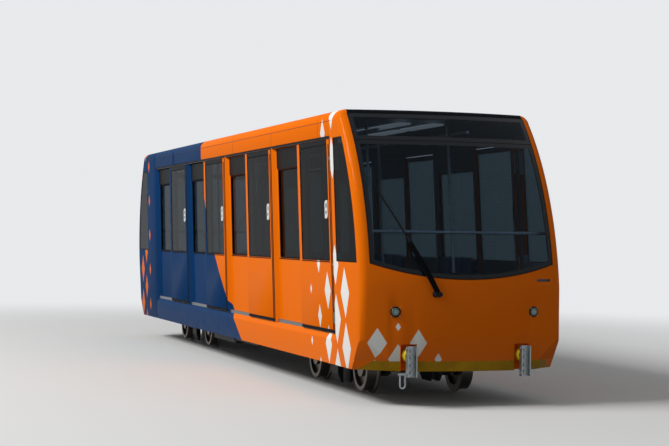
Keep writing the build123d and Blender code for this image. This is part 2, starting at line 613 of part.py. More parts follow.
# columns: distance from the rail's middle, height
JAW_POINTS = [(40, BRAKE_LOW), (105, BRAKE_LOW), (105, 150), (62, 50), (40, 50)]
brake_reach = RAIL_Y - beam_outer
for end, sign in SIGNS.items():
    centre = sign * BOGIE_CENTRE
    with BuildPart() as bogie:
        with BuildSketch(Plane.XZ.offset(-beam_outer)):
            back = [(centre - x, z) for x, z in reversed(beam_half)]
            Polygon(*[(centre + x, z) for x, z in beam_half], *back, align=None)
            fillet(vertices(), radius=12)
        extrude(amount=BEAM_WIDE)
        mirror(about=Plane.XZ)
        for x, wide in ((-tip_x + BEAM_WIDE, BEAM_WIDE), (0, CENTRE_BEAM), (tip_x - BEAM_WIDE, BEAM_WIDE)):
            with Locations((centre + x, 0, beam_middle)):
                Box(wide, 2 * BOGIE_SIDE, BOGIE_TOP - BOGIE_LOW)
        for x in (centre - axle_x, centre + axle_x):
            with Locations((x, -BOGIE_SIDE, AXLE_Z + 10), (x, BOGIE_SIDE, AXLE_Z + 10)):
                Box(*AXLE_BOX)
            with Locations((x, -BOGIE_SIDE, SPRING_LOW), (x, BOGIE_SIDE, SPRING_LOW)):
                Box(*SPRING_SEAT, align=HANGING)
            with Locations((x, -BOGIE_SIDE, SPRING_LOW), (x, BOGIE_SIDE, SPRING_LOW)):
                with GridLocations(2 * SPRING_REACH, 0, 2, 1):
                    Cylinder(SPRING_RADIUS, beam_middle - SPRING_LOW, align=STANDING)
            with Locations(Location((x, 0, AXLE_Z), (90, 0, 0))):
                Cylinder(AXLE_RADIUS + AXLE_FIT, 2 * beam_outer + 200, mode=Mode.SUBTRACT)
        with Locations((centre, 0, BOGIE_TOP)):
            Cylinder(PLATE_RADIUS, PLATE_HIGH, align=STANDING)
        with Locations((centre, -SILL_Y, BOGIE_TOP), (centre, SILL_Y, BOGIE_TOP)):
            Cylinder(BEARER_RADIUS, bearer_high - BOGIE_TOP, align=STANDING)
            for step in (0.2, 0.5, 0.8):
                with Locations((0, 0, step * (bearer_high - BOGIE_TOP))):
                    Cylinder(BEARER_RING, 10)
        with Locations((centre, 0, beam_middle)):
            Cylinder(PIVOT_RADIUS + 1, 4 * (BOGIE_TOP - BOGIE_LOW), mode=Mode.SUBTRACT)
    save(bogie.part, f"bogie_{end}")
    with BuildPart() as brake:
        for side in (-1, 1):
            housing = [(-brake_reach, BRAKE_LOW), (brake_reach, BRAKE_LOW), (brake_reach, BRAKE_HIGH - 50),
                       (brake_reach - 60, BRAKE_HIGH), (-brake_reach, BRAKE_HIGH)]
            with BuildSketch(Plane.YZ.offset(centre - BRAKE_LONG / 2)):
                Polygon(*[(side * (RAIL_Y + y), z) for y, z in housing], align=None)
            extrude(amount=BRAKE_LONG)
            with BuildSketch(Plane.YZ.offset(centre - JAW_LONG / 2)):
                for face in (-1, 1):
                    Polygon(*[(side * RAIL_Y + face * y, z) for y, z in JAW_POINTS], align=None)
            extrude(amount=JAW_LONG)
            cylinder_z = BRAKE_HIGH + CYLINDER_RADIUS - 6
            with Locations(Location((centre, side * (RAIL_Y - 20), cylinder_z), (0, 90, 0))):
                Cylinder(CYLINDER_RADIUS, JAW_LONG)
    save(brake.part, f"rail_brake_{end}")
    for number, x in enumerate((centre + sign * axle_x, centre - sign * axle_x), 1):
        near, far = WHEEL_CENTRE - WHEEL_WIDE / 2, WHEEL_CENTRE + WHEEL_WIDE / 2
        rim, flange = TREAD_RADIUS - RIM_DEEP, TREAD_RADIUS + FLANGE
        # columns: radius, distance from the middle plane
        section = [(0, 0), (AXLE_RADIUS, 0), (AXLE_RADIUS, near - HUB_PROUD), (HUB_RADIUS, near - HUB_PROUD),
                   (HUB_RADIUS, near + 30), (rim, near + 45), (rim, near), (flange, near),
                   (flange, near + 16), (TREAD_RADIUS, near + 30), (TREAD_RADIUS, far), (rim, far),
                   (rim, far - 50), (HUB_RADIUS, far - 40), (HUB_RADIUS, far), (0, far)]
        with BuildPart() as wheelset:
            with BuildSketch(Plane.XY.offset(AXLE_Z)):
                Polygon(*[(x + radius, y) for radius, y in section], align=None)
            revolve(axis=Axis((x, 0, AXLE_Z), (0, 1, 0)))
            mirror(about=Plane.XZ)
        save(wheelset.part, f"wheelset_{end}_{number}")

# Equipment boxes hung under the cross members, each with a raised door on its outer face
EQUIPMENT_Y = 680
EQUIPMENT_WIDE = 420
EQUIPMENT_DOOR = 8
DOOR_MARGIN = 40
# columns: middle along the car, side, length, depth
EQUIPMENT = [(-620, -1, 1270, 300), (640, -1, 1230, 260), (0, 1, 2490, 320)]
with BuildPart() as boxes:
    for x, side, length, deep in EQUIPMENT:
        with BuildSketch(Plane.XY.offset(CROSS_LOW - deep)):
            with Locations((x, side * EQUIPMENT_Y)):
                RectangleRounded(length, EQUIPMENT_WIDE, 25)
        extrude(amount=deep)
        with Locations((x, side * (EQUIPMENT_Y + EQUIPMENT_WIDE / 2), CROSS_LOW - deep / 2)):
            Box(length - 2 * DOOR_MARGIN, 2 * EQUIPMENT_DOOR, deep - 2 * DOOR_MARGIN)
save(boxes.part, "equipment_boxes")

# Rope anchor under the uphill end: two ears with rounded tips, joined by a plate
ANCHOR_X = -5250
ANCHOR_HALF = 210
ANCHOR_PIN_X = ANCHOR_X - 120
ANCHOR_Z = 300
ANCHOR_EAR = 30
ANCHOR_EAR_Y = 110
ANCHOR_ROUND = 68
ANCHOR_BORE = 30
ANCHOR_DEEP = 190
ear_points = [(ANCHOR_X - ANCHOR_HALF, CROSS_LOW), (ANCHOR_X + ANCHOR_HALF, CROSS_LOW),
              (ANCHOR_X + ANCHOR_HALF, CROSS_LOW - ANCHOR_DEEP), (ANCHOR_PIN_X + ANCHOR_ROUND, ANCHOR_Z),
              (ANCHOR_PIN_X - ANCHOR_ROUND, ANCHOR_Z)]
with BuildPart() as anchor:
    with BuildSketch(Plane.XZ.offset(ANCHOR_EAR_Y - ANCHOR_EAR / 2)):
        Polygon(*ear_points, align=None)
        with Locations((ANCHOR_PIN_X, ANCHOR_Z)):
            Circle(ANCHOR_ROUND)
            Circle(ANCHOR_BORE, mode=Mode.SUBTRACT)
    extrude(amount=ANCHOR_EAR)
    mirror(about=Plane.XZ)
    with Locations((ANCHOR_X + ANCHOR_HALF - 60, 0, CROSS_LOW - ANCHOR_DEEP / 2)):
        Box(40, 2 * ANCHOR_EAR_Y, ANCHOR_DEEP)
save(anchor.part, "rope_anchor")

# Buffer brackets: an arm from the headstock through the notch, and a channel in front of the face. A round
# buffer pad sits behind each channel, and a shackle hangs at one bracket of the front end
ARM_WIDE = 60
ARM_HIGH = 80
ARM_Z = 515
CHANNEL_DEEP = 60
CHANNEL_WALL = 12
PAD_RADIUS = 68
PAD_THICK = 40
PAD_EDGE = 10
SHACKLE_ROD = 9
SHACKLE_HALF = 26
SHACKLE_DROP = 110
SHACKLE_PIN_UP = 30
buffer_middle = (BUFFER_LOW + BUFFER_HIGH) / 2
channel_high = BUFFER_HIGH - BUFFER_LOW
buffer_tip = {}
for end, sign in SIGNS.items():
    buffer_tip[end] = face_low(end, BUFFER_Y, buffer_middle) + sign * BUFFER_REACH
with BuildPart() as brackets:
    for end, sign in SIGNS.items():
        head = HEAD_X[end] + sign * HEAD_THICK / 2
        tip = buffer_tip[end]
        root = tip - sign * CHANNEL_DEEP
        for y in (-BUFFER_Y, BUFFER_Y):
            with Locations(((head + root) / 2, y, ARM_Z)):
                Box(abs(root - head), ARM_WIDE, ARM_HIGH)
            with Locations(((root + tip) / 2, y, buffer_middle)):
                Box(CHANNEL_DEEP, BUFFER_WIDE, channel_high)
            with Locations(((root + tip) / 2 + sign * CHANNEL_WALL, y, buffer_middle)):
                Box(CHANNEL_DEEP, BUFFER_WIDE - 2 * CHANNEL_WALL, channel_high, mode=Mode.SUBTRACT)
save(brackets.part, "buffer_brackets")
with BuildPart() as pads:
    for end, sign in SIGNS.items():
        root = buffer_tip[end] - sign * (CHANNEL_DEEP + FIT)
        with BuildSketch(Plane.YZ.offset(root)):
            with Locations((-BUFFER_Y, ARM_Z), (BUFFER_Y, ARM_Z)):
                Circle(PAD_RADIUS)
                Rectangle(ARM_WIDE + 2 * FIT, ARM_HIGH + 2 * FIT, mode=Mode.SUBTRACT)
        extrude(amount=-sign * PAD_THICK)
    chamfer(pads.edges().filter_by(GeomType.CIRCLE), length=PAD_EDGE)
save(pads.part, "buffer_pads")
shackle_x = buffer_tip["front"] - CHANNEL_DEEP / 2
shackle_y = -BUFFER_Y - BUFFER_WIDE / 2 - SHACKLE_HALF - 2 * SHACKLE_ROD
shackle_z = BUFFER_LOW + SHACKLE_PIN_UP
with BuildPart() as shackle:
    with BuildLine() as bow:
        low = shackle_z - SHACKLE_DROP
        Line((shackle_x, shackle_y - SHACKLE_HALF, shackle_z), (shackle_x, shackle_y - SHACKLE_HALF, low))
        ThreePointArc((shackle_x, shackle_y - SHACKLE_HALF, low), (shackle_x, shackle_y, low - SHACKLE_HALF),
                      (shackle_x, shackle_y + SHACKLE_HALF, low))
        Line((shackle_x, shackle_y + SHACKLE_HALF, low), (shackle_x, shackle_y + SHACKLE_HALF, shackle_z))
    with BuildSketch(Plane(origin=bow.line @ 0, z_dir=bow.line % 0)):
        Circle(SHACKLE_ROD)
    sweep()
    with BuildSketch(Plane.XZ.offset(BUFFER_Y + BUFFER_WIDE / 2 + FIT)):
        with Locations((shackle_x, shackle_z)):
            Circle(SHACKLE_ROD + 3)
    extrude(amount=2 * SHACKLE_HALF + 4 * SHACKLE_ROD)
save(shackle.part, "shackle")


def bar(points, wide, thick):
    """A flat bar bent along a row of points on an end's face, standing off the face by its thickness."""
    with BuildPart() as run:
        with BuildLine() as path:
            Polyline(*points)
        with BuildSketch(Plane(origin=path.line @ 0, x_dir=(1, 0, 0), z_dir=path.line % 0)):
            Rectangle(thick, wide)
        sweep(transition=Transition.RIGHT)
    return run.part


# Wipers: a spindle on the panel, an arm of two rods and a blade on the glass
# columns: distance to the right of the middle seen from ahead, height
WIPER_PIVOT = (-310, 1128)
WIPER_BEND = (-450, 1394)
WIPER_ARM = (-590, 1660)
WIPER_TOP = (-870, 2190)
ROD_GAP = 34
ROD_SIZE = (14, 12)
ROD_CLEAR = (40, 45, 18)
BLADE_SIZE = (16, 14)
BLADE_STEPS = 6
BLADE_RISE = 8
SPINDLE_RADIUS = 24
SPINDLE_LONG = 110
wipers = []
for end, sign in SIGNS.items():
    step_y = (WIPER_TOP[0] - WIPER_ARM[0]) / (BLADE_STEPS - 2)
    step_z = (WIPER_TOP[1] - WIPER_ARM[1]) / (BLADE_STEPS - 2)
    blade = [(WIPER_ARM[0] + k * step_y, WIPER_ARM[1] + k * step_z) for k in range(-2, BLADE_STEPS - 1)]
    with BuildPart() as wiper:
        add(bar([face_point(end, sign * y, z, BLADE_RISE) for y, z in blade], *BLADE_SIZE))
        for shift, share in ((0, 0), (ROD_GAP, 0.3)):
            pivot = (WIPER_PIVOT[0] - shift, WIPER_PIVOT[1])
            bend = (WIPER_BEND[0] - shift, WIPER_BEND[1])
            tip = (WIPER_ARM[0] + share * step_y, WIPER_ARM[1] + share * step_z)
            rod = zip((pivot, bend, tip), ROD_CLEAR)
            add(bar([face_point(end, sign * y, z, clear) for (y, z), clear in rod], *ROD_SIZE))
            with Locations(Location(face_point(end, sign * pivot[0], pivot[1]), (0, 90, 0))):
                Cylinder(SPINDLE_RADIUS, SPINDLE_LONG)
        add(end_form(end, -FIT / 2), mode=Mode.SUBTRACT)
    wipers += wiper.part.solids()
save(Compound(wipers), "wipers")

# Benches along the fixed panels: a moulded seat and back on a plinth
SEAT_RISE = 470
SEAT_HIGH = DECK_TOP + SEAT_RISE
SEAT_THICK = 56
SEAT_DEEP = 435
SEAT_EDGE = PANEL_INNER - SEAT_DEEP
BACK_THICK = 40
BACK_SLOPE = 35
PLINTH_THICK = 60
PLINTH_INSET = 205
PLINTH_Y = PANEL_INNER - PLINTH_INSET
BENCH_END = 60
seat_low = SEAT_HIGH - SEAT_THICK
back_y = PANEL_INNER - BACK_THICK
bench_points = [(PANEL_INNER, seat_low), (PANEL_INNER, BELT - 10), (back_y, BELT - 10),
                (back_y - BACK_SLOPE, SEAT_HIGH), (SEAT_EDGE, SEAT_HIGH), (SEAT_EDGE, seat_low)]
with BuildPart() as benches:
    for rear in PANEL_REARS:
        start = lean(rear + BENCH_END, seat_low)
        length = PITCH - DOORWAY - 4 * BENCH_END
        with BuildSketch(Plane.YZ.offset(start)):
            Polygon(*[(-y, z) for y, z in bench_points], align=None)
            fillet(vertices().group_by(Axis.X)[-1], radius=22)
            with Locations((-PLINTH_Y, (DECK_TOP + seat_low + 4) / 2)):
                Rectangle(PLINTH_THICK, seat_low + 4 - DECK_TOP)
        extrude(amount=length)
    mirror(about=Plane.XZ)
save(benches.part, "benches")

# Grab rails: leaning poles from floor to roof, a run beside them on each side, bars behind the windscreens
TUBE = 17
POLE_Y = 480
RUN_DROP = 178
RUN_Z = ROOF_TOP - RUN_DROP
RUN_INSET = 60
GUARD_Z = 1750
GUARD_BACK = 78
run_front, run_rear = lean(FRONT_JOINT, RUN_Z) - RUN_INSET, lean(REAR_JOINT, RUN_Z) + RUN_INSET
with BuildPart() as grabs:
    for side in (-1, 1):
        with BuildSketch(Plane.YZ.offset(run_rear)):
            with Locations((side * (POLE_Y + 2 * TUBE + FIT), RUN_Z)):
                Circle(TUBE)
        extrude(amount=run_front - run_rear)
        for lead in LEADS:
            with BuildSketch(Plane.XY.offset(DECK_TOP)):
                with Locations((lean(lead - DOORWAY / 2, DECK_TOP), side * POLE_Y)):
                    Circle(TUBE)
            extrude(amount=(ROOF_TOP - ROOF_WALL - DECK_TOP) * sqrt(1 + LEAN ** 2), dir=(LEAN, 0, 1))
    for end, sign in SIGNS.items():
        corner = face_point(end, HALF_WIDTH, GUARD_Z).X - sign * GUARD_BACK
        with Locations(Location((corner, 0, GUARD_Z), (90, 0, 0))):
            Cylinder(TUBE, 2 * (HALF_WIDTH - WALL))
save(grabs.part, "grab_rails")

# Driver's desks with a cowl over their instruments
DESK_BACK = 720
DESK_DEEP = 480
DESK_WIDE = 840
DESK_RISE = 552
COWL_RISE = 90
DESK_LIP = 20
DESK_LOW = DECK_TOP + DESK_RISE
DESK_HIGH = DESK_LOW + COWL_RISE
DESK_ROUND = 14
with BuildPart() as desks:
    for end, sign in SIGNS.items():
        x0 = face_low(end, 0, DECK_TOP) - sign * DESK_BACK
        x1 = x0 + sign * DESK_DEEP
        with BuildSketch(Plane.XZ.offset(-DESK_WIDE / 2)):
            cowl_x = x0 + sign * DESK_DEEP / 4
            Polygon((x0, DECK_TOP), (x1, DECK_TOP), (x1, DESK_LOW + DESK_LIP), (cowl_x, DESK_HIGH),
                    (x0, DESK_LOW), align=None)
            fillet(vertices().group_by(Axis.Y)[1:], radius=DESK_ROUND)
        extrude(amount=DESK_WIDE)
save(desks.part, "driver_desks")

# Ceiling panel between the ends and the raised hatch on the roof
CEILING_WIDE = 700
CEILING_THICK = 40
CEILING_INSET = 250
HATCH = (700, 600, 34)
HATCH_X = -3550
HATCH_Y = -500
HATCH_EDGE = 20
ceiling_front = lean(FRONT_JOINT, ROOF_TOP) - CEILING_INSET
ceiling_rear = lean(REAR_JOINT, ROOF_TOP) + CEILING_INSET
with BuildPart() as ceiling:
    with BuildSketch(Plane.XY.offset(ROOF_TOP - ROOF_WALL - CEILING_THICK)):
        with Locations(((ceiling_front + ceiling_rear) / 2, 0)):
            RectangleRounded(ceiling_front - ceiling_rear, CEILING_WIDE, 60)
    extrude(amount=CEILING_THICK)
save(ceiling.part, "ceiling_panel")
with BuildPart() as hatch:
    with BuildSketch(Plane.XY.offset(ROOF_TOP)):
        with Locations((HATCH_X, HATCH_Y)):
            RectangleRounded(HATCH[0], HATCH[1], 50)
    extrude(amount=HATCH[2])
    chamfer(hatch.edges().group_by(Axis.Z)[-1], length=HATCH_EDGE)
save(hatch.part, "roof_hatch")
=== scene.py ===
# %% [markdown]
# # Dressing a funicular car
#
# The car is a long metal box on two bogies. It stands on a steep track, so its pillars, doors and windows lean
# back to be upright for the people inside, while its sill, belt and roof follow the track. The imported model
# holds every rigid piece at its real size. This notebook gives each of them a finish and adds the rubber, the
# small fittings and the printed pattern.

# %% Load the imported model
import json
import math

import bmesh
import bpy
import numpy as np
from mathutils import Matrix, Vector

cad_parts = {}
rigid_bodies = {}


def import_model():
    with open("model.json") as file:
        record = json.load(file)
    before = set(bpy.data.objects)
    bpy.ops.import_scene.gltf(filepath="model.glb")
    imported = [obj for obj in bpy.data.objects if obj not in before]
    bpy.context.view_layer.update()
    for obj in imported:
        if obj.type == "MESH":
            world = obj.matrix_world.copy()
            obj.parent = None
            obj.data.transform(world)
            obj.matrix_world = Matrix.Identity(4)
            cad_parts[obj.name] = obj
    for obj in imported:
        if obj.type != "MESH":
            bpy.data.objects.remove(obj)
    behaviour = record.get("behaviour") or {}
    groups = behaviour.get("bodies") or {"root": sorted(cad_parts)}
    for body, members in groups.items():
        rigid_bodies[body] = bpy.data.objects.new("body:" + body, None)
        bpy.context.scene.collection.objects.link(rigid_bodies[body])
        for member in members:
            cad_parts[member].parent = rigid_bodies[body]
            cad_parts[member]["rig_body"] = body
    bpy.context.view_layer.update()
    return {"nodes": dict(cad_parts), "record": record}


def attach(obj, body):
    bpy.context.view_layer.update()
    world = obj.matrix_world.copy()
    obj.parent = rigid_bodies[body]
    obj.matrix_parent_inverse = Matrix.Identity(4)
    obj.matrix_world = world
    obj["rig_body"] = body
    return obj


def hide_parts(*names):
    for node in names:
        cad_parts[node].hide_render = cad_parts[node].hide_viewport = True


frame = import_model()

nodes = frame["nodes"]
slots = {part["node"]: part["material_slot"] for part in frame["record"]["subparts"]}

# %% [markdown]
# ## The car's own lines
#
# Nearly everything on the side follows one leaning direction, and both ends are one curved face each: an upright
# line up to a crease, then an arc that leans in towards the roof, turned about an upright axis far inside the
# car. A few small functions give any point on those lines, so a rubber strip or a lamp finds its own place.

# %% Measures that several steps use, in metres
HALF_WIDTH = 1.090
DECK_Z = 0.688
SILL_Z = 0.690
BELT_Z = 1.433
HEADER_Z = 2.758
ROOF_Z = 3.028
LAMP_Y, LAMP_Z = 0.746, 0.950
BRACKET_Y, PAD_Z = 0.610, 0.515
DOOR_PITCH = 2.405
LEADS = [5.005 - n * DOOR_PITCH for n in range(4)]      # each door's leading edge, at the height LEAN_Z
ENDS = {"front": 1, "rear": -1}
SIDES = {"right": -1, "left": 1}
# the end glass: half its width, its lower edge's centre and radius, the seam below the brow and the top
GLASS_HALF = 0.990
GLASS_LOW_MIDDLE = 4.517
GLASS_LOW_RADIUS = 3.239
GLASS_SEAM = 2.694
BROW_TOP = 2.985
print("doors on each side", len(LEADS))

# %% The leaning line and the curved end face
LEAN = -0.15
LEAN_Z = 1.528
CREASE_Z = 1.198
BULGE_RADIUS = 4.200
FRONT_X = 5.465
REAR_X = 5.639
# columns: height, distance of the face ahead of the end's reference place, at the side corner
FACE_PROFILE = ((0.150, 0.535), (1.198, 0.535), (2.108, 0.290), (3.128, -0.440))
SAGITTA = BULGE_RADIUS - math.sqrt(BULGE_RADIUS ** 2 - HALF_WIDTH ** 2)


def lean(s, z):
    """Real x of the place s on a leaning line, at the height z: s plus the lean times the height above LEAN_Z."""
    return s + LEAN * (z - LEAN_Z)


def corner_x(end, z, ahead):
    """x of the face at the side corner. The rear end mirrors the front in the leaning frame."""
    if end == "front":
        return FRONT_X + ahead
    return -REAR_X - ahead + 2 * LEAN * (z - LEAN_Z)


def profile_x(end, z):
    """x of the face in the car's middle plane: a line up to the crease, then the circle through three points."""
    sign = ENDS[end]
    low, crease, middle, high = [(corner_x(end, h, ahead) + sign * SAGITTA, h) for h, ahead in FACE_PROFILE]
    (ax, az), (bx, bz), (cx, cz) = crease, middle, high
    area = 2 * (ax * (bz - cz) + bx * (cz - az) + cx * (az - bz))
    squares = [ax * ax + az * az, bx * bx + bz * bz, cx * cx + cz * cz]
    mx = (squares[0] * (bz - cz) + squares[1] * (cz - az) + squares[2] * (az - bz)) / area
    mz = (squares[0] * (cx - bx) + squares[1] * (ax - cx) + squares[2] * (bx - ax)) / area
    arc = mx + sign * np.sqrt(np.maximum((ax - mx) ** 2 + (az - mz) ** 2 - (z - mz) ** 2, 0))
    line = low[0] + (crease[0] - low[0]) * (z - low[1]) / (crease[1] - low[1])
    return np.where(z < crease[1], line, arc)


def face_x(end, y, z):
    """x of the curved end face: the profile's radius about its upright axis, then the circle of that radius at y."""
    y, z = np.broadcast_arrays(np.asarray(y, float), np.asarray(z, float))
    sign = ENDS[end]
    axis_x = corner_x(end, CREASE_Z, FACE_PROFILE[1][1]) + sign * (SAGITTA - BULGE_RADIUS)
    radius = np.abs(profile_x(end, z) - axis_x)
    return axis_x + sign * np.sqrt(radius ** 2 - y ** 2)


def on_face(end, y, z):
    """Points (n, 3) on the end face at the places y and z."""
    return np.stack([face_x(end, y, z), y, z], -1)


def face_out(end, y, z):
    """Unit vectors square to the end face: the cross product of its slopes along y and along z."""
    step = 0.002
    along_y = (face_x(end, y + step, z) - face_x(end, y - step, z)) / (2 * step)
    along_z = (face_x(end, y, z + step) - face_x(end, y, z - step)) / (2 * step)
    out = np.stack([np.ones_like(along_y), -along_y, -along_z], axis=-1) * ENDS[end]
    return out / np.linalg.norm(out, axis=-1, keepdims=True)


print("front face at the middle of the belt", round(float(face_x("front", 0, BELT_Z)), 3))

# %% [markdown]
# ## Colour values and arithmetic on fields
#
# Colours are written as the sRGB values that a paint chart gives. Blender's shaders add and multiply light, so
# they need linear values, and one function turns the one into the other. A second function adds any shader
# node. A pattern is arithmetic on the place of each point, and a small class lets it be written as such: a field
# stands for a number that the shader works out at every point, and each operation on it adds one node.

# %% Helpers for materials


def linear(code, alpha=1.0):
    """Linear RGBA of an sRGB hex colour: each channel goes through the sRGB curve's inverse."""
    channels = np.array([int(code[k:k + 2], 16) for k in (1, 3, 5)]) / 255
    return (*np.where(channels <= 0.04045, channels / 12.92, ((channels + 0.055) / 1.055) ** 2.4), alpha)


def feed(tree, socket, value):
    """Links a field or another node's socket to an input, or sets the input to a plain value."""
    value = value.socket if isinstance(value, Field) else value
    if isinstance(value, bpy.types.NodeSocket):
        tree.links.new(value, socket)
    else:
        socket.default_value = value


def add(tree, kind, **inputs):
    """Adds one node. Names that start with set_ are its own settings, i0 and i1 are inputs by their number."""
    node = tree.nodes.new(kind)
    for name in [name for name in inputs if name.startswith("set_")]:
        setattr(node, name[4:], inputs.pop(name))
    for name, value in inputs.items():
        key = int(name[1:]) if name[1:].isdigit() else name.replace("_", " ")
        feed(tree, node.inputs[key], value)
    return node


def operator(operation):
    """A method that adds the arithmetic node for a field and one other field or number."""
    return lambda field, other: field.math(operation, other)


class Field:
    """A number at every point of a surface. Masks are fields of zeros and ones: & is both, | is either."""

    def __init__(self, tree, socket):
        self.tree, self.socket = tree, socket

    def math(self, operation, *others):
        """The result of one arithmetic node on this field and the others."""
        inputs = {f"i{k}": value for k, value in enumerate((self, *others))}
        return Field(self.tree, add(self.tree, "ShaderNodeMath", set_operation=operation, **inputs).outputs[0])

    def __rsub__(self, other):
        return self.math("MULTIPLY_ADD", -1.0, other)

    def __abs__(self):
        return self.math("ABSOLUTE")

    __add__, __sub__, __mul__, __truediv__ = map(operator, ("ADD", "SUBTRACT", "MULTIPLY", "DIVIDE"))
    __pow__, __gt__, __lt__ = map(operator, ("POWER", "GREATER_THAN", "LESS_THAN"))
    __or__, __and__ = map(operator, ("MAXIMUM", "MULTIPLY"))


def xyz(tree, vector):
    """The three parts of a vector as fields."""
    return [Field(tree, part) for part in add(tree, "ShaderNodeSeparateXYZ", i0=vector).outputs]


def distance(a, b):
    """Length of the vector (a, b)."""
    return (a * a + b * b).math("SQRT")


def stretched(field, low, high, kind="LINEAR"):
    """Field that goes from 0 at low to 1 at high and stays within 0 and 1."""
    node = add(field.tree, "ShaderNodeMapRange", i0=field, i1=low, i2=high, set_interpolation_type=kind)
    return Field(field.tree, node.outputs[0])


def mixed(factor, first, second):
    """Colour that goes from first to second with the factor."""
    return add(factor.tree, "ShaderNodeMix", set_data_type="RGBA", i0=factor, i6=first, i7=second).outputs[2]


def noise(tree, place, size_mm, detail=3.0, stretch=(1, 1, 1)):
    """Noise between 0 and 1 whose blotches are about size_mm across, longer along an axis by its stretch."""
    scaled = add(tree, "ShaderNodeMapping", i0=place, i3=[1 / s for s in stretch]).outputs[0]
    return Field(tree, add(tree, "ShaderNodeTexNoise", i0=scaled, Scale=1000 / size_mm, Detail=detail).outputs[0])


def start_material(name, **principled):
    """An empty material with its shader, and the Object coordinates that patterns read."""
    material = bpy.data.materials.new(name)
    material.use_nodes = True
    tree = material.node_tree
    shader = tree.nodes["Principled BSDF"]
    for socket, value in principled.items():
        shader.inputs[socket.replace("_", " ")].default_value = value
    return material, tree, shader, add(tree, "ShaderNodeTexCoord").outputs["Object"]


def paint_with(shader, tree, colour=None, roughness=None, raised=None, raised_mm=0.0):
    """Feeds the shader its colour and roughness, and lets a pattern raise the surface by raised_mm."""
    if colour is not None:
        feed(tree, shader.inputs["Base Color"], colour)
    if roughness is not None:
        feed(tree, shader.inputs["Roughness"], roughness)
    if raised is not None:
        bump = add(tree, "ShaderNodeBump", Height=raised, Distance=raised_mm / 1000, Strength=1.0)
        feed(tree, shader.inputs["Normal"], bump.outputs[0])


print("orange as linear values", [round(float(c), 3) for c in linear("#EE7003")])

# %% [markdown]
# ## Coach enamel in two colours
#
# The body is sprayed with two-pack enamel under a thin clear coat: orange towards the downhill end, blue towards
# the uphill end, meeting on one long arc. A faint ripple, the orange peel of spray paint, breaks what the coat
# mirrors. Dust from the track settles on the lowest part. Staggered rows of slim lozenges in white run round the
# front corner, and the same lozenges in orange round the rear one. Each lozenge takes its size from the middle
# of its own cell, so its edges stay straight. All of this is arithmetic on the place of each point, so it runs
# across doors, pillars and panels without a break, as a printed film does. Two more masks finish the shell: a
# black film over the roof's edge above the end glass, and the grey of the lining on what faces the cabin.

# %% Enamel
ORANGE = linear("#EE7003")
BLUE = linear("#0A3562")
WHITE = linear("#ECEBE6")
DUST = linear("#8C8274")
LINING = linear("#8E9396")
BROW_PRINT = linear("#0A0E13")
SIDE_CELL = (0.310, 0.560)
FACE_CELL = (0.205, 0.320)
SMALLEST = 0.16
SIDE_FROM = 1.02
FACE_FROM = 5.70


def two_colours(x, z):
    """Blue, and orange where x > 0.343 b b + 0.114 b - 1.39 with b = 2.93 - z."""
    b = 2.93 - z
    return mixed(x > b * b * 0.343 + (b * 0.114 - 1.39), BLUE, ORANGE)


def lozenges(across, up, cell, size_of):
    """Mask of lozenges, |across| + |up| from the middle of a staggered cell against size_of that middle."""
    wide, tall = cell
    column = (across / wide).math("FLOOR")
    stagger = column.math("PINGPONG", 1.0) * 0.5
    middle_across = (column + 0.5) * wide
    middle_up = ((up / tall + stagger).math("FLOOR") + 0.5 - stagger) * tall
    off = abs(across - middle_across) / wide + abs(up - middle_up) / tall
    size = size_of(middle_across, middle_up)
    return (off * 2.0 < size) & (size > SMALLEST)


def front_size(across, up):
    """Lozenges of the front corner: they grow towards the corner, low down and again above the belt."""
    low = stretched(across, 3.95, 5.05) * stretched(up, 2.05, 1.25)
    high = stretched(across, 4.45, 5.05) * stretched(up, 2.05, 2.60) & (across < 5.20)
    return (low | high) * 0.92 & (across < 5.55)


def rear_size(across, up):
    """Lozenges of the rear corner: they grow towards the corner at every height."""
    return stretched(across, -4.75, -5.55) * 0.80 & (across > -5.75)


def face_size(across, up):
    """Lozenges of the front face: they grow downwards and towards the right corner."""
    return stretched(across, -0.15, -0.55) * stretched(up, 0.86, 0.64) * 0.94 & (across > -0.95)


def brow_edge(x, y, z):
    """Mask of the black film over the roof's edge, ahead of the upper end glass and as wide as the glass."""
    return (z > 2.972) & ((x > 5.07) | (x < -5.60)) & (abs(y) < GLASS_HALF - 0.002)


def faces_in(tree, x, y, z):
    """Mask of what faces the cabin: the normal points towards the middle, above the floor."""
    nx, ny, nz = xyz(tree, add(tree, "ShaderNodeTexCoord").outputs["Normal"])
    at_wall = abs(y) > 0.85
    wall = (y * ny < -0.3) & at_wall
    end = (x * nx < -1.5) & (abs(x) > 4.9) & (1 - at_wall)
    over = (nz < -0.2) & (abs(y) < 1.03) & (z > 2.74)
    return (wall | end | over) & (z > DECK_Z)


def enamel():
    """Two-pack coach enamel with its two colours, the lozenges of both ends and dust near the rail."""
    material, tree, shader, place = start_material("coach_enamel", Specular_IOR_Level=0.0, Coat_Weight=0.07,
                                                   Coat_Roughness=0.05)
    x, y, z = xyz(tree, place)
    upright = x + (z - LEAN_Z) * -LEAN
    side = abs(y) > SIDE_FROM
    white = (lozenges(upright, z, SIDE_CELL, front_size) & side
             | lozenges(y, z, FACE_CELL, face_size) & (x > FACE_FROM) & (1 - side))
    painted = mixed(white, two_colours(x, z), WHITE)
    painted = mixed(lozenges(upright, z, SIDE_CELL, rear_size) & side, painted, ORANGE)
    dusty = stretched(z, 0.75, 0.33) * noise(tree, place, 220, 6.0)
    painted = mixed(dusty * 0.18, painted, DUST)
    painted = mixed(brow_edge(x, y, z), painted, BROW_PRINT)
    painted = mixed(faces_in(tree, x, y, z), painted, LINING)
    rough = noise(tree, place, 90, 4.0) * 0.10 + 0.25
    paint_with(shader, tree, painted, dusty * 0.35 + rough, noise(tree, place, 9, 1.0), 0.03)
    return material


paint = enamel()
print("enamel nodes", len(paint.node_tree.nodes))

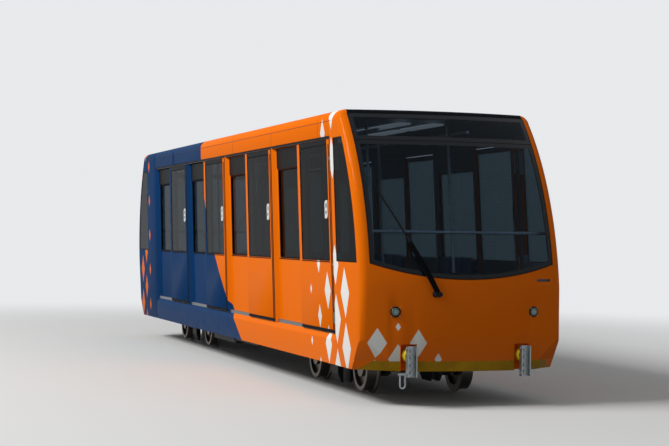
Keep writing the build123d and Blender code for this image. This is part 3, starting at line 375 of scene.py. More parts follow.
# %% [markdown]
# ## Glass
#
# The panes are grey-tinted toughened glass. A pane is thin, so what is behind it stays in place, and a mix of a
# clear, tinted film and a dark mirror shows it better than a thick block of glass would. The share of the
# mirror grows towards a flat view, as on every pane. Round the end glass a black ceramic edge is printed on the
# inside, which hides the glue. It is the same mirror with nothing behind it, where the distance to the edge of
# the pane is small.

# %% Tinted glass with a printed black edge
PRINT_WIDE = 0.045


def printed_edge(y, z):
    """Mask of the printed edge: beside, at the top, on both sides of the seam and along the lower arc."""
    beside = abs(y) > GLASS_HALF - PRINT_WIDE
    above = z > BROW_TOP - PRINT_WIDE
    seam = abs(z - GLASS_SEAM) < PRINT_WIDE
    below = distance(y, GLASS_LOW_MIDDLE - z) > GLASS_LOW_RADIUS - PRINT_WIDE
    return beside | above | seam | below


def tinted_glass(name, tint, mirror, share, shine, edge=False):
    """A clear film of the tint mixed with a dark mirror, whose share grows from share as the view flattens."""
    material, tree, shader, place = start_material(name, Base_Color=linear(mirror), IOR=1.52,
                                                   Specular_IOR_Level=shine)
    rain = noise(tree, place, 35, 5.0, (1, 1, 4))
    paint_with(shader, tree, roughness=stretched(rain, 0.5, 0.8) * 0.05 + 0.015)
    film = add(tree, "ShaderNodeBsdfTransparent", Color=linear(tint))
    flatness = Field(tree, add(tree, "ShaderNodeLayerWeight", Blend=0.30).outputs["Facing"])
    mirrored = flatness ** 3.0 * (1.0 - share) + share
    if edge:
        x, y, z = xyz(tree, place)
        mirrored = mirrored | printed_edge(y, z)
    both = add(tree, "ShaderNodeMixShader", i0=mirrored, i1=film.outputs[0], i2=shader.outputs[0])
    feed(tree, tree.nodes["Material Output"].inputs["Surface"], both.outputs[0])
    return material


end_glass = tinted_glass("tinted_end_glass", "#DAE6F0", "#0A131B", 0.30, 0.16, edge=True)
side_glass = tinted_glass("tinted_side_glass", "#A3AEB1", "#090C0E", 0.22, 0.05)
print("glasses", end_glass.name, side_glass.name)

# %% [markdown]
# ## The other finishes
#
# Each finish is named for what it is made of, and for painted shade where it carries some. Rubber is nearly
# black and scatters what little it returns, and the bare metals differ mostly in how their scratches run: along
# the strip on extruded aluminium, in crystals on hot-dip zinc, all over on a rolled wheel. A few finishes change
# with the place, such as the door guides, which are bright at the sill and painted black under the roof as shade.

# %% Functions for rubber, plastics and metals


def plain(name, code, roughness, grain_mm, grain_depth_mm, variation=0.15, metallic=0.0, stretch=(1, 1, 1),
          coat=0.0, shine=0.2):
    """A finish of one colour: darker and paler by variation in blotches, with a grain that bumps and dulls it."""
    material, tree, shader, place = start_material(name, Metallic=metallic, Coat_Weight=coat,
                                                   Specular_IOR_Level=0.5 if metallic else shine)
    blotch = stretched(noise(tree, place, 160, 5.0, stretch), 0.3, 0.7)
    colour = linear(code)[:3]
    dark = [c * (1 - variation) for c in colour] + [1.0]
    pale = [min(c * (1 + variation), 1) for c in colour] + [1.0]
    grain = noise(tree, place, grain_mm, 3.0, stretch)
    paint_with(shader, tree, mixed(blotch, dark, pale), grain * 0.2 + (roughness - 0.1), grain, grain_depth_mm)
    return material


def galvanised():
    """Hot-dip galvanised steel: zinc crystals 12 mm across, each reflecting a little differently."""
    material, tree, shader, place = start_material("galvanised_steel", Metallic=0.85)
    crystals = add(tree, "ShaderNodeTexVoronoi", i0=place, Scale=1000 / 12).outputs["Color"]
    tone = Field(tree, add(tree, "ShaderNodeSeparateColor", i0=crystals).outputs[0])
    paint_with(shader, tree, mixed(tone, linear("#82898B"), linear("#999FA1")), tone * 0.06 + 0.42,
               noise(tree, place, 4), 0.05)
    return material


def opal():
    """Opal acrylic over a strip of lamps: white, and glowing faintly, a little dimmer in blotches about 120 mm
    across.
    """
    material, tree, shader, place = start_material("opal_acrylic", Base_Color=linear("#F2F3F0"), Roughness=0.4,
                                                   Emission_Strength=0.20)
    glow = noise(tree, place, 120, 1.0) * 0.3 + 0.75
    feed(tree, shader.inputs["Emission Color"], mixed(glow, linear("#B9BDBE"), linear("#FFFFFF")))
    return material


def lamp_glass():
    """The fluted cover of a headlamp: grey-green glass with rings 7 mm apart over a dark bowl."""
    material, tree, shader, place = start_material("fluted_lamp_glass", Coat_Weight=0.3, Coat_Roughness=0.03,
                                                   Roughness=0.25, Metallic=0.3)
    x, y, z = xyz(tree, place)
    far = distance(abs(y) - LAMP_Y, z - LAMP_Z)
    bowl = mixed(stretched(far, 0.034, 0.012), linear("#46534E"), linear("#7C8A83"))
    paint_with(shader, tree, bowl, raised=(far / 0.0035).math("PINGPONG", 1.0), raised_mm=0.8)
    return material


def guide_finish():
    """Anodised aluminium at the sill, and black above 2 m where the upper guide runs under the roof: painted shade.
    """
    material, tree, shader, place = start_material("anodised_guides_shaded_above", Metallic=1.0)
    x, y, z = xyz(tree, place)
    grain = noise(tree, place, 1.5, 3.0, (40, 1, 1))
    # above 2 m the same aluminium is black: painted shade under the roof
    paint_with(shader, tree, mixed(z > 2.0, linear("#74777A"), linear("#0C0D0E")), grain * 0.2 + 0.3, grain, 0.02)
    return material


def valance_finish():
    """Yellow enamel, darker for dirt and for painted shade, and the body's own colour on the cut corners: beyond |y|
    + 1.2 z = 1.48.
    """
    material, tree, shader, place = start_material("dirty_and_shaded_yellow_enamel", Specular_IOR_Level=0.1)
    x, y, z = xyz(tree, place)
    # both yellows are darker than the pads' yellow: dirt, and painted shade under the downturned valance
    dirt_and_shade_yellow = mixed(stretched(noise(tree, place, 180, 5.0), 0.35, 0.7), linear("#AE8410"), linear("#94700F"))
    body = mixed(x > 0.0, BLUE, ORANGE)
    paint_with(shader, tree, mixed(z * 1.2 + abs(y) > 1.48, dirt_and_shade_yellow, body), noise(tree, place, 10) * 0.2 + 0.3)
    return material


def buffer_finish():
    """A black rubber pad with a yellow rim, which starts 55 mm from the middle of the arm that carries it."""
    material, tree, shader, place = start_material("rimmed_rubber_pad", Roughness=0.5, Specular_IOR_Level=0.2)
    x, y, z = xyz(tree, place)
    rim = distance(abs(y) - BRACKET_Y, z - PAD_Z) > 0.055
    paint_with(shader, tree, mixed(rim, linear("#1B1B1A"), linear("#EBCB1E")), raised=noise(tree, place, 3),
               raised_mm=0.05)
    return material


print("finishes that change with the place", 6)

# %% The finishes, and the one that each node gets
FINISHES = {
    "livery_paint": paint,
    "white_paint": plain("white_laminate", "#D4D5D2", 0.45, 6, 0.02, 0.04),
    "yellow_paint": plain("yellow_enamel", "#E9C41C", 0.32, 10, 0.04, 0.10, coat=0.1),
    "tinted_glass": side_glass,
    "trim_aluminium": plain("anodised_aluminium", "#9C9FA0", 0.38, 1.5, 0.02, 0.08, 1.0, (40, 1, 1)),
    # this rubber also makes the painted shade boxes under the leaves
    "seal_rubber": plain("epdm_rubber_and_painted_shade", "#101011", 0.72, 3, 0.05, shine=0.05),
    "frame_paint": plain("chassis_paint", "#1C1D1F", 0.55, 8, 0.15, 0.35),
    "galvanised_steel": galvanised(),
    "wheel_steel": plain("rolled_wheel_steel", "#6B655E", 0.45, 5, 0.10, 0.25, 0.9),
    "floor_covering": plain("floor_rubber", "#3A3D3F", 0.65, 6, 0.20),
    "lamp_lens": lamp_glass(),
    "seat_shell": plain("moulded_seat_plastic", "#1D4C86", 0.42, 2, 0.05, 0.06),
    "rail_steel": plain("brushed_stainless", "#C3C5C6", 0.28, 1.0, 0.01, 0.05, 1.0, (1, 1, 20)),
    "desk_laminate": plain("textured_abs", "#26282A", 0.5, 1.5, 0.08, 0.05)}
# nodes whose names start like this have a finish of their own
OWN_FINISHES = {"windscreen": end_glass, "valance": valance_finish(), "door_rails": guide_finish(),
                "buffer_pads": buffer_finish()}
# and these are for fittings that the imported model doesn't hold
tray_paint = {end: plain(name, code, 0.35, 9, 0.03, 0.04, shine=0.05)
              for end, name, code in (("front", "orange_enamel", "#EE6E04"), ("rear", "blue_enamel", "#0A3562"))}
# black for real black parts, and for the painted shade plates under the header
black_plastic_and_shade = plain("black_abs_and_painted_shade", "#0B0C0E", 0.42, 2, 0.03, 0.06, shine=0.02)
handle_white = plain("white_zinc_casting", "#D6D6D2", 0.35, 3, 0.04, 0.03, coat=0.5)
sealant = plain("joint_sealant", "#2A1610", 0.6, 4, 0.03, 0.1)
for name, node in nodes.items():
    own = [finish for start, finish in OWN_FINISHES.items() if name.startswith(start)]
    node.data.materials.clear()
    node.data.materials.append(own[0] if own else FINISHES[slots[name]])
print("finishes", len(FINISHES) + len(OWN_FINISHES))

# %% [markdown]
# ## Panels with softened edges
#
# Pressed and welded panels have no knife edges: every fold has a radius of a few millimetres, and that is where
# a studio light shows as a thin bright line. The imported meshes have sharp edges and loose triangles. A copy is
# merged into one skin, gets a small bevel on its sharp edges, and takes the place of the plain node. Skirts and
# valances have shallow folds that still show as a change of shade, so their limit for sharp is lower.

# %% Softened copies of the painted panels
MERGE = 0.00005
SHARP_ANGLE = 35
FOLD_ANGLE = 15


def placed(name, data):
    """A new object with its data, in the scene."""
    made = bpy.data.objects.new(name, data)
    bpy.context.scene.collection.objects.link(made)
    return made


def softened(node, radius_mm, angle):
    """A copy of a node with merged vertices, a bevel on every edge sharper than angle, and smooth shading."""
    source = nodes[node]
    copy = placed("soft_" + node, source.data.copy())
    copy.modifiers.new("merge", "WELD").merge_threshold = MERGE
    edge = copy.modifiers.new("edges", "BEVEL")
    edge.width = radius_mm / 1000
    edge.segments = 2
    edge.limit_method = "ANGLE"
    edge.angle_limit = math.radians(angle)
    bpy.context.view_layer.update()
    flat = bpy.data.meshes.new_from_object(copy.evaluated_get(bpy.context.evaluated_depsgraph_get()))
    copy.modifiers.clear()
    copy.data = flat
    flat.shade_smooth()
    flat.set_sharp_from_angle(angle=math.radians(angle))
    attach(copy, source["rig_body"])
    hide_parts(node)


PANELS = {"nose_front": 3, "nose_rear": 3, "roof_shell": 4, "side_wall_right": 3, "side_wall_left": 3,
          "skirt_right": 4, "skirt_left": 4, "valance_front": 4, "valance_rear": 4, "roof_hatch": 4}
PANELS.update({f"door_{side}_{n}": 4 for side in SIDES for n in range(1, 5)})
for node, radius_mm in PANELS.items():
    softened(node, radius_mm, FOLD_ANGLE if node.startswith(("valance", "skirt")) else SHARP_ANGLE)
print("softened panels", len(PANELS))

# %% [markdown]
# ## Surfaces from arrays
#
# Rubber profiles, lamp rings, plates and bolts are all one of four kinds of surface: a section carried along a
# path, a section turned about an axis, a flat outline with thickness, and a box whose edges are cut. Each is
# worked out with numpy as a whole array of points with a list of faces. Several of them can be joined before
# they become one object, so a set of bolts is one piece.

# %% Four kinds of surface


def quads(rows, columns, wrap_rows, wrap_columns):
    """Four-sided faces of a grid of points that is kept row by row."""
    r = np.arange(rows if wrap_rows else rows - 1)[:, None]
    c = np.arange(columns if wrap_columns else columns - 1)[None, :]
    r2, c2 = (r + 1) % rows, (c + 1) % columns
    corners = [r * columns + c, r * columns + c2, r2 * columns + c2, r2 * columns + c]
    return np.stack(corners, -1).reshape(-1, 4).tolist()


def swept(path, out, section, closed=True):
    """Section points (sideways, outwards) carried along a path: at a bend the sideways vector is the mitre.

    The mitre is the sum of the two runs' sideways vectors, divided by one plus their dot product.
    """
    path, out, section = (np.asarray(a, float) for a in (path, out, section))
    out = np.broadcast_to(out, path.shape)
    ahead = np.roll(path, -1, 0) - path
    if not closed:
        ahead[-1] = ahead[-2]
    ahead /= np.linalg.norm(ahead, axis=1, keepdims=True)
    behind = np.roll(ahead, 1, 0)
    if not closed:
        behind[0] = ahead[0]
    one, two = np.cross(behind, out), np.cross(ahead, out)
    side = (one + two) / (1 + np.sum(one * two, axis=1, keepdims=True))
    points = path[:, None] + section[None, :, :1] * side[:, None] + section[None, :, 1:] * out[:, None]
    faces = quads(len(path), len(section), closed, True)
    if not closed:
        total = len(path) * len(section)
        faces += [list(range(len(section))), list(range(total - len(section), total))]
    return points.reshape(-1, 3), faces


def turned(profile, centre, axis, steps=24):
    """Profile points (radius, height) turned about an axis through centre. Radius 0 at both ends closes it."""
    profile, axis = np.asarray(profile, float), np.asarray(axis, float)
    axis = axis / np.linalg.norm(axis)
    across = np.cross(axis, (0, 0, 1) if abs(axis[2]) < 0.9 else (1, 0, 0))
    across /= np.linalg.norm(across)
    angle = np.arange(steps) * 2 * np.pi / steps
    ring = np.cos(angle)[:, None] * across + np.sin(angle)[:, None] * np.cross(axis, across)
    points = np.asarray(centre) + profile[None, :, :1] * ring[:, None] + profile[None, :, 1:] * axis
    return points.reshape(-1, 3), quads(steps, len(profile), True, False)


def slab(outline, lift, edge):
    """A flat outline (n, 3) with thickness: its foot, its rim moved by lift less the edge, and a smaller top."""
    outline, lift = np.asarray(outline, float), np.asarray(lift, float)
    middle = outline.mean(0)
    reach = np.linalg.norm(outline - middle, axis=1, keepdims=True)
    top = middle + (outline - middle) * (1 - edge / reach)
    points = np.vstack([outline, outline + lift * (1 - edge / np.linalg.norm(lift)), top + lift])
    n = len(outline)
    return points, quads(3, n, False, True) + [list(range(n)), list(range(2 * n, 3 * n))]


def block(low, high, edge):
    """A box whose edges are cut: each corner gives three points, one on each of its faces."""
    low, high = np.asarray(low, float), np.asarray(high, float)
    signs = np.array([[(k >> a) & 1 for a in range(3)] for k in range(8)])
    points = np.empty((8, 3, 3))
    for axis in range(3):
        inset = np.full(3, edge)
        inset[axis] = 0
        points[:, axis] = np.where(signs, high - inset, low + inset)
    faces = [[3 * k, 3 * k + 1, 3 * k + 2] for k in range(8)]
    for a in range(3):
        b, c = (a + 1) % 3, (a + 2) % 3
        for s in (0, 1 << a):
            faces.append([3 * (s + t) + a for t in (0, 1 << b, (1 << b) + (1 << c), 1 << c)])
        for s in (0, 1 << a):
            for t in (0, 1 << b):
                near, far = 3 * (s + t), 3 * (s + t + (1 << c))
                faces.append([near + a, near + b, far + b, far + a])
    return points.reshape(-1, 3), faces


def piece(name, parts, body, slot, material=None, sharp=38):
    """Closed surfaces as one object on a body: poles merged, faces turned outwards, sharp edges kept crisp."""
    points, faces = [], []
    for some, theirs in parts:
        faces += [[k + len(points) for k in face] for face in theirs]
        points += some.tolist()
    mesh = bpy.data.meshes.new(name)
    mesh.from_pydata(points, [], faces)
    shell = bmesh.new()
    shell.from_mesh(mesh)
    bmesh.ops.remove_doubles(shell, verts=shell.verts, dist=1e-6)
    bmesh.ops.recalc_face_normals(shell, faces=shell.faces)
    shell.to_mesh(mesh)
    shell.free()
    mesh.materials.append(material or FINISHES[slot])
    mesh.shade_smooth()
    mesh.set_sharp_from_angle(angle=math.radians(sharp))
    made = placed(name, mesh)
    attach(made, body)


print("box with cut edges: points", len(block((0, 0, 0), (1, 1, 1), 0.1)[0]))

# %% Outlines and sections


def bead(wide, low, high, soft=0.35):
    """Section of a rubber or metal strip: a rectangle whose two outer corners are cut by a share of its width."""
    half, cut = wide / 2, soft * wide
    top = max(high - cut, low + 0.2 * (high - low))
    return [(-half, low), (-half, top), (-half + cut, high), (half - cut, high), (half, top), (half, low)]


def rounded(corners, radius, steps=5):
    """A closed outline with each corner replaced by the parabola between the two points at radius from it."""
    corners = np.asarray(corners, float)
    before, after = np.roll(corners, 1, 0) - corners, np.roll(corners, -1, 0) - corners
    start = corners + radius * before / np.linalg.norm(before, axis=1, keepdims=True)
    end = corners + radius * after / np.linalg.norm(after, axis=1, keepdims=True)
    t = np.linspace(0, 1, steps)[None, :, None]
    curve = (1 - t) ** 2 * start[:, None] + 2 * t * (1 - t) * corners[:, None] + t ** 2 * end[:, None]
    return curve.reshape(-1, corners.shape[1])


def leaning(s0, s1, z0, z1, inset=0.0):
    """The four corners (x, z) of a leaning window or panel, moved in by inset."""
    low, high = z0 + inset, z1 - inset
    rows = ((s0 + inset, low), (s1 - inset, low), (s1 - inset, high), (s0 + inset, high))
    return np.array([(lean(s, z), z) for s, z in rows])


def at_side(flat, y):
    """Points (x, z) of a side view placed at y."""
    return np.stack([flat[:, 0], np.full(len(flat), y), flat[:, 1]], -1)


print("points of a strip's section", len(bead(0.016, 0, 0.005)))

# %% [markdown]
# ## Window rubber
#
# Every pane sits in a black rubber profile that covers the joint between glass and metal. On the leaning windows
# the profile is a closed loop with small rounded corners, and it is carried round each window by the same
# function. The loop on a door leaf rides with its leaf.

# %% Rubber round the side windows
PANE_Y = 1.015
PANEL_Y = 1.035
LEAF_PANE_Y = 1.081
LEAF_Y = 1.085
SEAT = 0.0002           # gap between a fitting and the surface that it sits on
RUBBER_WIDE = 0.016
LEAF_PANE = (-1.140, -0.085)
FIXED_PANE = (-2.260, -1.100)
FIXED_TOP = 2.480
LEAF_TOP = 2.680


def pane_loop(lead, pane, top, y, high):
    """Rubber carried round a pane that lies behind a door's leading edge, from the belt up to its top."""
    flat = rounded(leaning(lead + pane[0], lead + pane[1], BELT_Z, top, RUBBER_WIDE / 2), 0.020)
    return swept(at_side(flat, y), (0, math.copysign(1, y), 0), bead(RUBBER_WIDE, SEAT, high))


for side, sign in SIDES.items():
    fixed = []
    for n, lead in enumerate(LEADS, 1):
        piece(f"leaf_rubber_{side}_{n}", [pane_loop(lead, LEAF_PANE, LEAF_TOP, sign * LEAF_PANE_Y, 0.0052)],
              f"door_{side}_{n}", "seal_rubber")
        fixed.append(pane_loop(lead, FIXED_PANE, FIXED_TOP, sign * PANE_Y, 0.0160))
    piece(f"window_rubber_{side}", fixed, "car_body", "seal_rubber")
print("window rubbers", 2 * len(LEADS) + 2)

# %% [markdown]
# ## Door trim
#
# Above each fixed window a black plate is painted shade from the header, and a smaller one on the top of each
# leaf is painted shade too. Black rubber lies along the belt below the glass, along the top of the fixed glass
# and on the leaf's leading edge. Under each leaf a black box is painted shade in the gap over the sill track, and
# a white cast plate with a cut corner carries a lock and a small grip. Plates are flat outlines with thickness.

# %% Painted shade plates and boxes, rubber strips and handles
# columns: from and to behind the door's leading edge, from and to in height, thickness, cut edge
# the first row is a black plate over the top of the fixed panel: painted shade from the header
HEADER_SHADE_PLATE = (-2.276, -1.068, FIXED_TOP + 0.012, HEADER_Z - 0.034, 0.006, 0.002)
WALL_STRIPS = ((-2.274, -1.090, BELT_Z - 0.012, BELT_Z - 0.002, 0.004, 0.0015),
               (-2.262, -1.098, FIXED_TOP + 0.001, FIXED_TOP + 0.009, 0.004, 0.0015))
LEAF_PLATES = {
    # head: a black plate on the leaf's top, painted shade under the header
    "head": ((-1.140, -0.085, LEAF_TOP - 0.004, 2.7235, 0.003, 0.001), "desk_laminate", black_plastic_and_shade),
    "sill": ((-1.145, -0.080, BELT_Z - 0.014, BELT_Z - 0.004, 0.0025, 0.001), "seal_rubber", None),
    "edge": ((-0.034, -0.008, 0.722, LEAF_TOP - 0.006, 0.0025, 0.001), "seal_rubber", None)}
# a black box in the gap under each leaf: painted shade over the sill track
SHADE_STRIP_Y, SHADE_STRIP_HALF, SHADE_STRIP_Z = 1.0735, 0.0085, (0.6835, 0.7185)
HANDLE_MIDDLE = (-0.158, 1.980)
HANDLE_OUTLINE = ((-0.052, -0.097), (0.030, -0.097), (0.052, -0.070), (0.052, 0.097), (-0.024, 0.097),
                  (-0.052, 0.066))
GRIP_OUTLINE = ((-0.012, 1.998), (0.020, 1.998), (0.016, 2.044), (-0.016, 2.044))
HANDLE_FOOT, HANDLE_FACE = 1.0836, 1.0885
LOCK = ((0, 0), (0.017, 0), (0.017, 0.002), (0.0145, 0.0032), (0.006, 0.0032), (0.005, 0.0016), (0, 0.0016))


def raised_plate(lead, sizes, y, sign):
    """A leaning plate on the side: its outline just outside y, raised outwards by its thickness."""
    s0, s1, z0, z1, thick, edge = sizes
    return slab(at_side(leaning(lead + s0, lead + s1, z0, z1), sign * (y + SEAT)), (0, sign * thick, 0), edge)


def shade_gap_box(lead, sign):
    """Painted shade under a leaf: a black box nearly as long as the leaf, over the sill track."""
    x0, x1 = lean(lead - 1.228, 0.70), lean(lead - 0.008, 0.70)
    y = sign * SHADE_STRIP_Y
    return block((x0, y - SHADE_STRIP_HALF, SHADE_STRIP_Z[0]), (x1, y + SHADE_STRIP_HALF, SHADE_STRIP_Z[1]), 0.003)


def handle(lead, sign):
    """The handle's plate, and on it the lock and the grip."""
    x = lean(lead + HANDLE_MIDDLE[0], HANDLE_MIDDLE[1])
    flat = np.array([(x + s + LEAN * z, HANDLE_MIDDLE[1] + z) for s, z in HANDLE_OUTLINE])
    plate = slab(at_side(rounded(flat, 0.010, 3), sign * HANDLE_FOOT), (0, sign * 0.0052, 0), 0.0018)
    lock = turned(LOCK, (x + 0.004, sign * HANDLE_FACE, HANDLE_MIDDLE[1] - 0.030), (0, sign, 0))
    flat = rounded([(x + s, z) for s, z in GRIP_OUTLINE], 0.007, 3)
    return plate, [lock, slab(at_side(flat, sign * HANDLE_FACE), (0, sign * 0.0016, 0), 0.0007)]


for side, sign in SIDES.items():
    for n, lead in enumerate(LEADS, 1):
        body = f"door_{side}_{n}"
        for place, (sizes, slot, finish) in LEAF_PLATES.items():
            piece(f"leaf_{place}_{side}_{n}", [raised_plate(lead, sizes, LEAF_Y, sign)], body, slot, finish)
        # painted shade: the black box darkens the sill track under the leaf
        piece(f"leaf_shade_strip_{side}_{n}", [shade_gap_box(lead, sign)], body, "seal_rubber")
        plate, fittings = handle(lead, sign)
        piece(f"handle_plate_{side}_{n}", [plate], body, "white_paint", handle_white)
        piece(f"handle_lock_{side}_{n}", fittings, body, "rail_steel", FINISHES["desk_laminate"])
    # painted shade: black plates over the tops of the fixed panels, under the header
    covers = [raised_plate(lead, HEADER_SHADE_PLATE, PANEL_Y, sign) for lead in LEADS]
    strips = [raised_plate(lead, sizes, PANEL_Y, sign) for lead in LEADS for sizes in WALL_STRIPS]
    piece(f"header_shade_plates_{side}", covers, "car_body", "desk_laminate", black_plastic_and_shade)
    piece(f"belt_strips_{side}", strips, "car_body", "seal_rubber")
print("handles", 2 * len(LEADS))

# %% [markdown]
# ## Seams and the drip rail
#
# The roof is welded from sheets. Its joints show as thin dark lines of sealant across the roof and down the
# header, and one long line runs where the rounded cove meets the flat header. A black rubber drip rail closes
# the header's lower edge. All are strips carried along a line: the cross joints along the roof's own section,
# the others along the car.

# %% Sealant lines and drip rails
COVE = 0.110
COVE_Z = ROOF_Z - COVE
JOINTS = (4.625, 2.675, 0.725, -1.225, -3.175)
REAR_JOINT = -4.565
FRONT_JOINT = 5.055
DRIP_Y = 1.0785
turn = np.linspace(0, np.pi / 2, 9)
right_half = np.stack([-(HALF_WIDTH - COVE) - COVE * np.cos(turn), COVE_Z + COVE * np.sin(turn)], -1)
roof_line = np.vstack([[(-HALF_WIDTH, HEADER_Z + 0.004)], right_half, (right_half * (-1, 1))[::-1],
                       [(HALF_WIDTH, HEADER_Z + 0.004)]])
bend = np.stack([-np.cos(turn), np.sin(turn)], -1)
roof_out = np.zeros((len(roof_line), 3))
roof_out[:, 1:] = np.vstack([[(-1, 0)], bend, (bend * (-1, 1))[::-1], [(1, 0)]])
seams, drips = [], []
for joint in JOINTS:
    path = np.stack([lean(joint, roof_line[:, 1]), roof_line[:, 0], roof_line[:, 1]], -1)
    seams.append(swept(path, roof_out, bead(0.007, -0.0010, 0.0010), False))
for joint in (FRONT_JOINT, REAR_JOINT):
    z = np.linspace(SILL_Z, HEADER_Z, 6)
    for sign in SIDES.values():
        path = at_side(np.stack([lean(joint, z), z], -1), sign * HALF_WIDTH)
        seams.append(swept(path, (0, sign, 0), bead(0.006, -0.0010, 0.0008), False))
for sign in SIDES.values():
    path = at_side(np.array([(lean(REAR_JOINT, COVE_Z) - 0.8, COVE_Z), (lean(FRONT_JOINT, COVE_Z) + 0.05, COVE_Z)]),
                   sign * HALF_WIDTH)
    seams.append(swept(path, (0, sign, 0), bead(0.007, -0.0010, 0.0010), False))
    path = at_side(np.array([(lean(joint, HEADER_Z), HEADER_Z - 0.010) for joint in (REAR_JOINT, FRONT_JOINT)]),
                   sign * DRIP_Y)
    drips.append(swept(path, (0, 0, -1), bead(0.021, -0.0098, 0.0080), False))
piece("roof_sealant", seams, "car_body", "seal_rubber", sealant)
piece("drip_rails", drips, "car_body", "seal_rubber", black_plastic_and_shade)
print("roof seams", len(JOINTS))

# %% [markdown]
# ## Rubber round the end glass
#
# The profile follows the outline of the glass on the curved face, so its path is worked out as y and z first:
# the lower edge is an arc that dips to the middle, then two upright edges and the top. The x of each point comes
# from the face, and the outward direction is square to the face. The quarter windows have the leaning line on
# one side and the raked line of the face on the other.

# %% Rubber round the windscreens and quarter windows
QUARTER_START = {"front": 5.165, "rear": -5.255}
QUARTER_Y = 1.086
low_y = GLASS_HALF * np.linspace(-1, 1, 25)
low_z = GLASS_LOW_MIDDLE - np.sqrt(GLASS_LOW_RADIUS ** 2 - low_y ** 2)
up_z = np.linspace(BELT_Z, BROW_TOP, 16)[1:]
top_y = GLASS_HALF * np.linspace(1, -1, 17)[1:-1]
edge_y, top_z = np.full(15, GLASS_HALF), np.full(15, BROW_TOP)
ring_y = np.concatenate([low_y, edge_y, top_y, -edge_y])
ring_z = np.concatenate([low_z, up_z, top_z, up_z[::-1]])
seam_y = GLASS_HALF * np.linspace(-0.995, 0.995, 25)
seam_z = np.full(25, GLASS_SEAM)
for end, sign in ENDS.items():
    ring = swept(on_face(end, ring_y, ring_z), face_out(end, ring_y, ring_z), bead(0.014, -0.0030, 0.0030))
    seam = swept(on_face(end, seam_y, seam_z), face_out(end, seam_y, seam_z), bead(0.010, -0.0080, 0.0010), False)
    piece(f"glass_rubber_{end}", [ring, seam], "car_body", "seal_rubber")
    z = np.linspace(BELT_Z, HEADER_Z - 0.025, 12)
    raked = np.stack([profile_x(end, z) - sign * (SAGITTA + 0.100), z], -1)
    upright = np.stack([lean(QUARTER_START[end], z[[-1, 0]]), z[[-1, 0]]], -1)
    flat = np.vstack([raked, upright])
    flat = flat.mean(0) + (flat - flat.mean(0)) * 0.985
    loops = [swept(at_side(flat, y * QUARTER_Y), (0, y, 0), bead(0.014, SEAT, 0.0045)) for y in SIDES.values()]
    piece(f"quarter_rubber_{end}", loops, "car_body", "seal_rubber")
print("end rubbers", 2 * len(ENDS))

# %% [markdown]
# ## Lamps, wipers and brackets
#
# A headlamp is a black ring, its glass and four screws. The ring is a section turned about the lamp's axis. The
# wiper's spindles get domed caps with a nut, its arms one flat cover, and its blade a thin rubber lip. Brackets
# are bolted through their channel, and each bolt is a six-sided head on a round washer. Behind each bracket a
# pocket is lined with painted sheet, and a yellow collar sits behind the buffer pad.

# %% Lamp rings and screws
LAMP_RING = ((0.0455, -0.010), (0.052, -0.010), (0.0535, -0.002), (0.053, 0.004), (0.051, 0.009), (0.049, 0.010),
             (0.0462, 0.009), (0.0455, 0.006), (0.0455, -0.010))
SCREW = ((0, 0), (0.004, 0), (0.004, 0.017), (0.003, 0.0185), (0, 0.0185))
SCREW_CIRCLE = 0.0565


def bolt(centre, axis, across):
    """A washer and a hexagon head, across its flats, with a cut top edge."""
    r = across / 2
    washer = turned([(0, 0), (1.15 * r, 0), (1.2 * r, 0.05 * r), (1.2 * r, 0.2 * r), (0, 0.2 * r)], centre, axis, 16)
    head = turned([(0, 0.1 * r), (r, 0.1 * r), (r, 0.85 * r), (0.85 * r, r), (0, r)], centre, axis, 6)
    return [washer, head]


for end in ENDS:
    rings, screws = [], []
    for lamp_y in (-LAMP_Y, LAMP_Y):
        out = face_out(end, lamp_y, LAMP_Z)
        rings.append(turned(LAMP_RING, (float(face_x(end, lamp_y, LAMP_Z)), lamp_y, LAMP_Z), out, 40))
        for k in range(4):
            angle = math.pi * (0.25 + 0.5 * k)
            y, z = lamp_y + SCREW_CIRCLE * math.cos(angle), LAMP_Z + SCREW_CIRCLE * math.sin(angle)
            screws.append(turned(SCREW, (float(face_x(end, y, z)), y, z), out, 12))
    piece(f"lamp_rings_{end}", rings, "car_body", "lamp_lens", black_plastic_and_shade)
    piece(f"lamp_screws_{end}", screws, "car_body", "rail_steel")
print("lamp rings", 2 * len(ENDS))

# %% Wiper caps, arm cover and lips
SPINDLE = (0.310, 1.128)
SPINDLE_GAP = 0.034
CAP = ((0, 0), (0.030, 0), (0.032, 0.004), (0.027, 0.012), (0.020, 0.016), (0, 0.016))
LIP = ((-0.003, 0.0004), (-0.003, 0.0040), (-0.001, 0.0090), (0.001, 0.0090), (0.003, 0.0040), (0.003, 0.0004))
ARM_COVER = ((-0.026, 0), (-0.026, 0.003), (-0.022, 0.006), (0.022, 0.006), (0.026, 0.003), (0.026, 0))
ARM_CLEAR = np.array([0.049, 0.052, 0.054, 0.041, 0.028])      # height of the arms above the face, root to tip
# y and z of the start, and how far y and z run from it
ARM = (-0.330, 1.140, -0.262, 0.498)
BLADE = (-0.590, 1.660, -0.280, 0.530)


def wiper_line(end, line, share):
    """Places y and z along the arm or the blade of an end's wiper, at shares of its run."""
    return ENDS[end] * (line[0] + line[2] * share), line[1] + line[3] * share


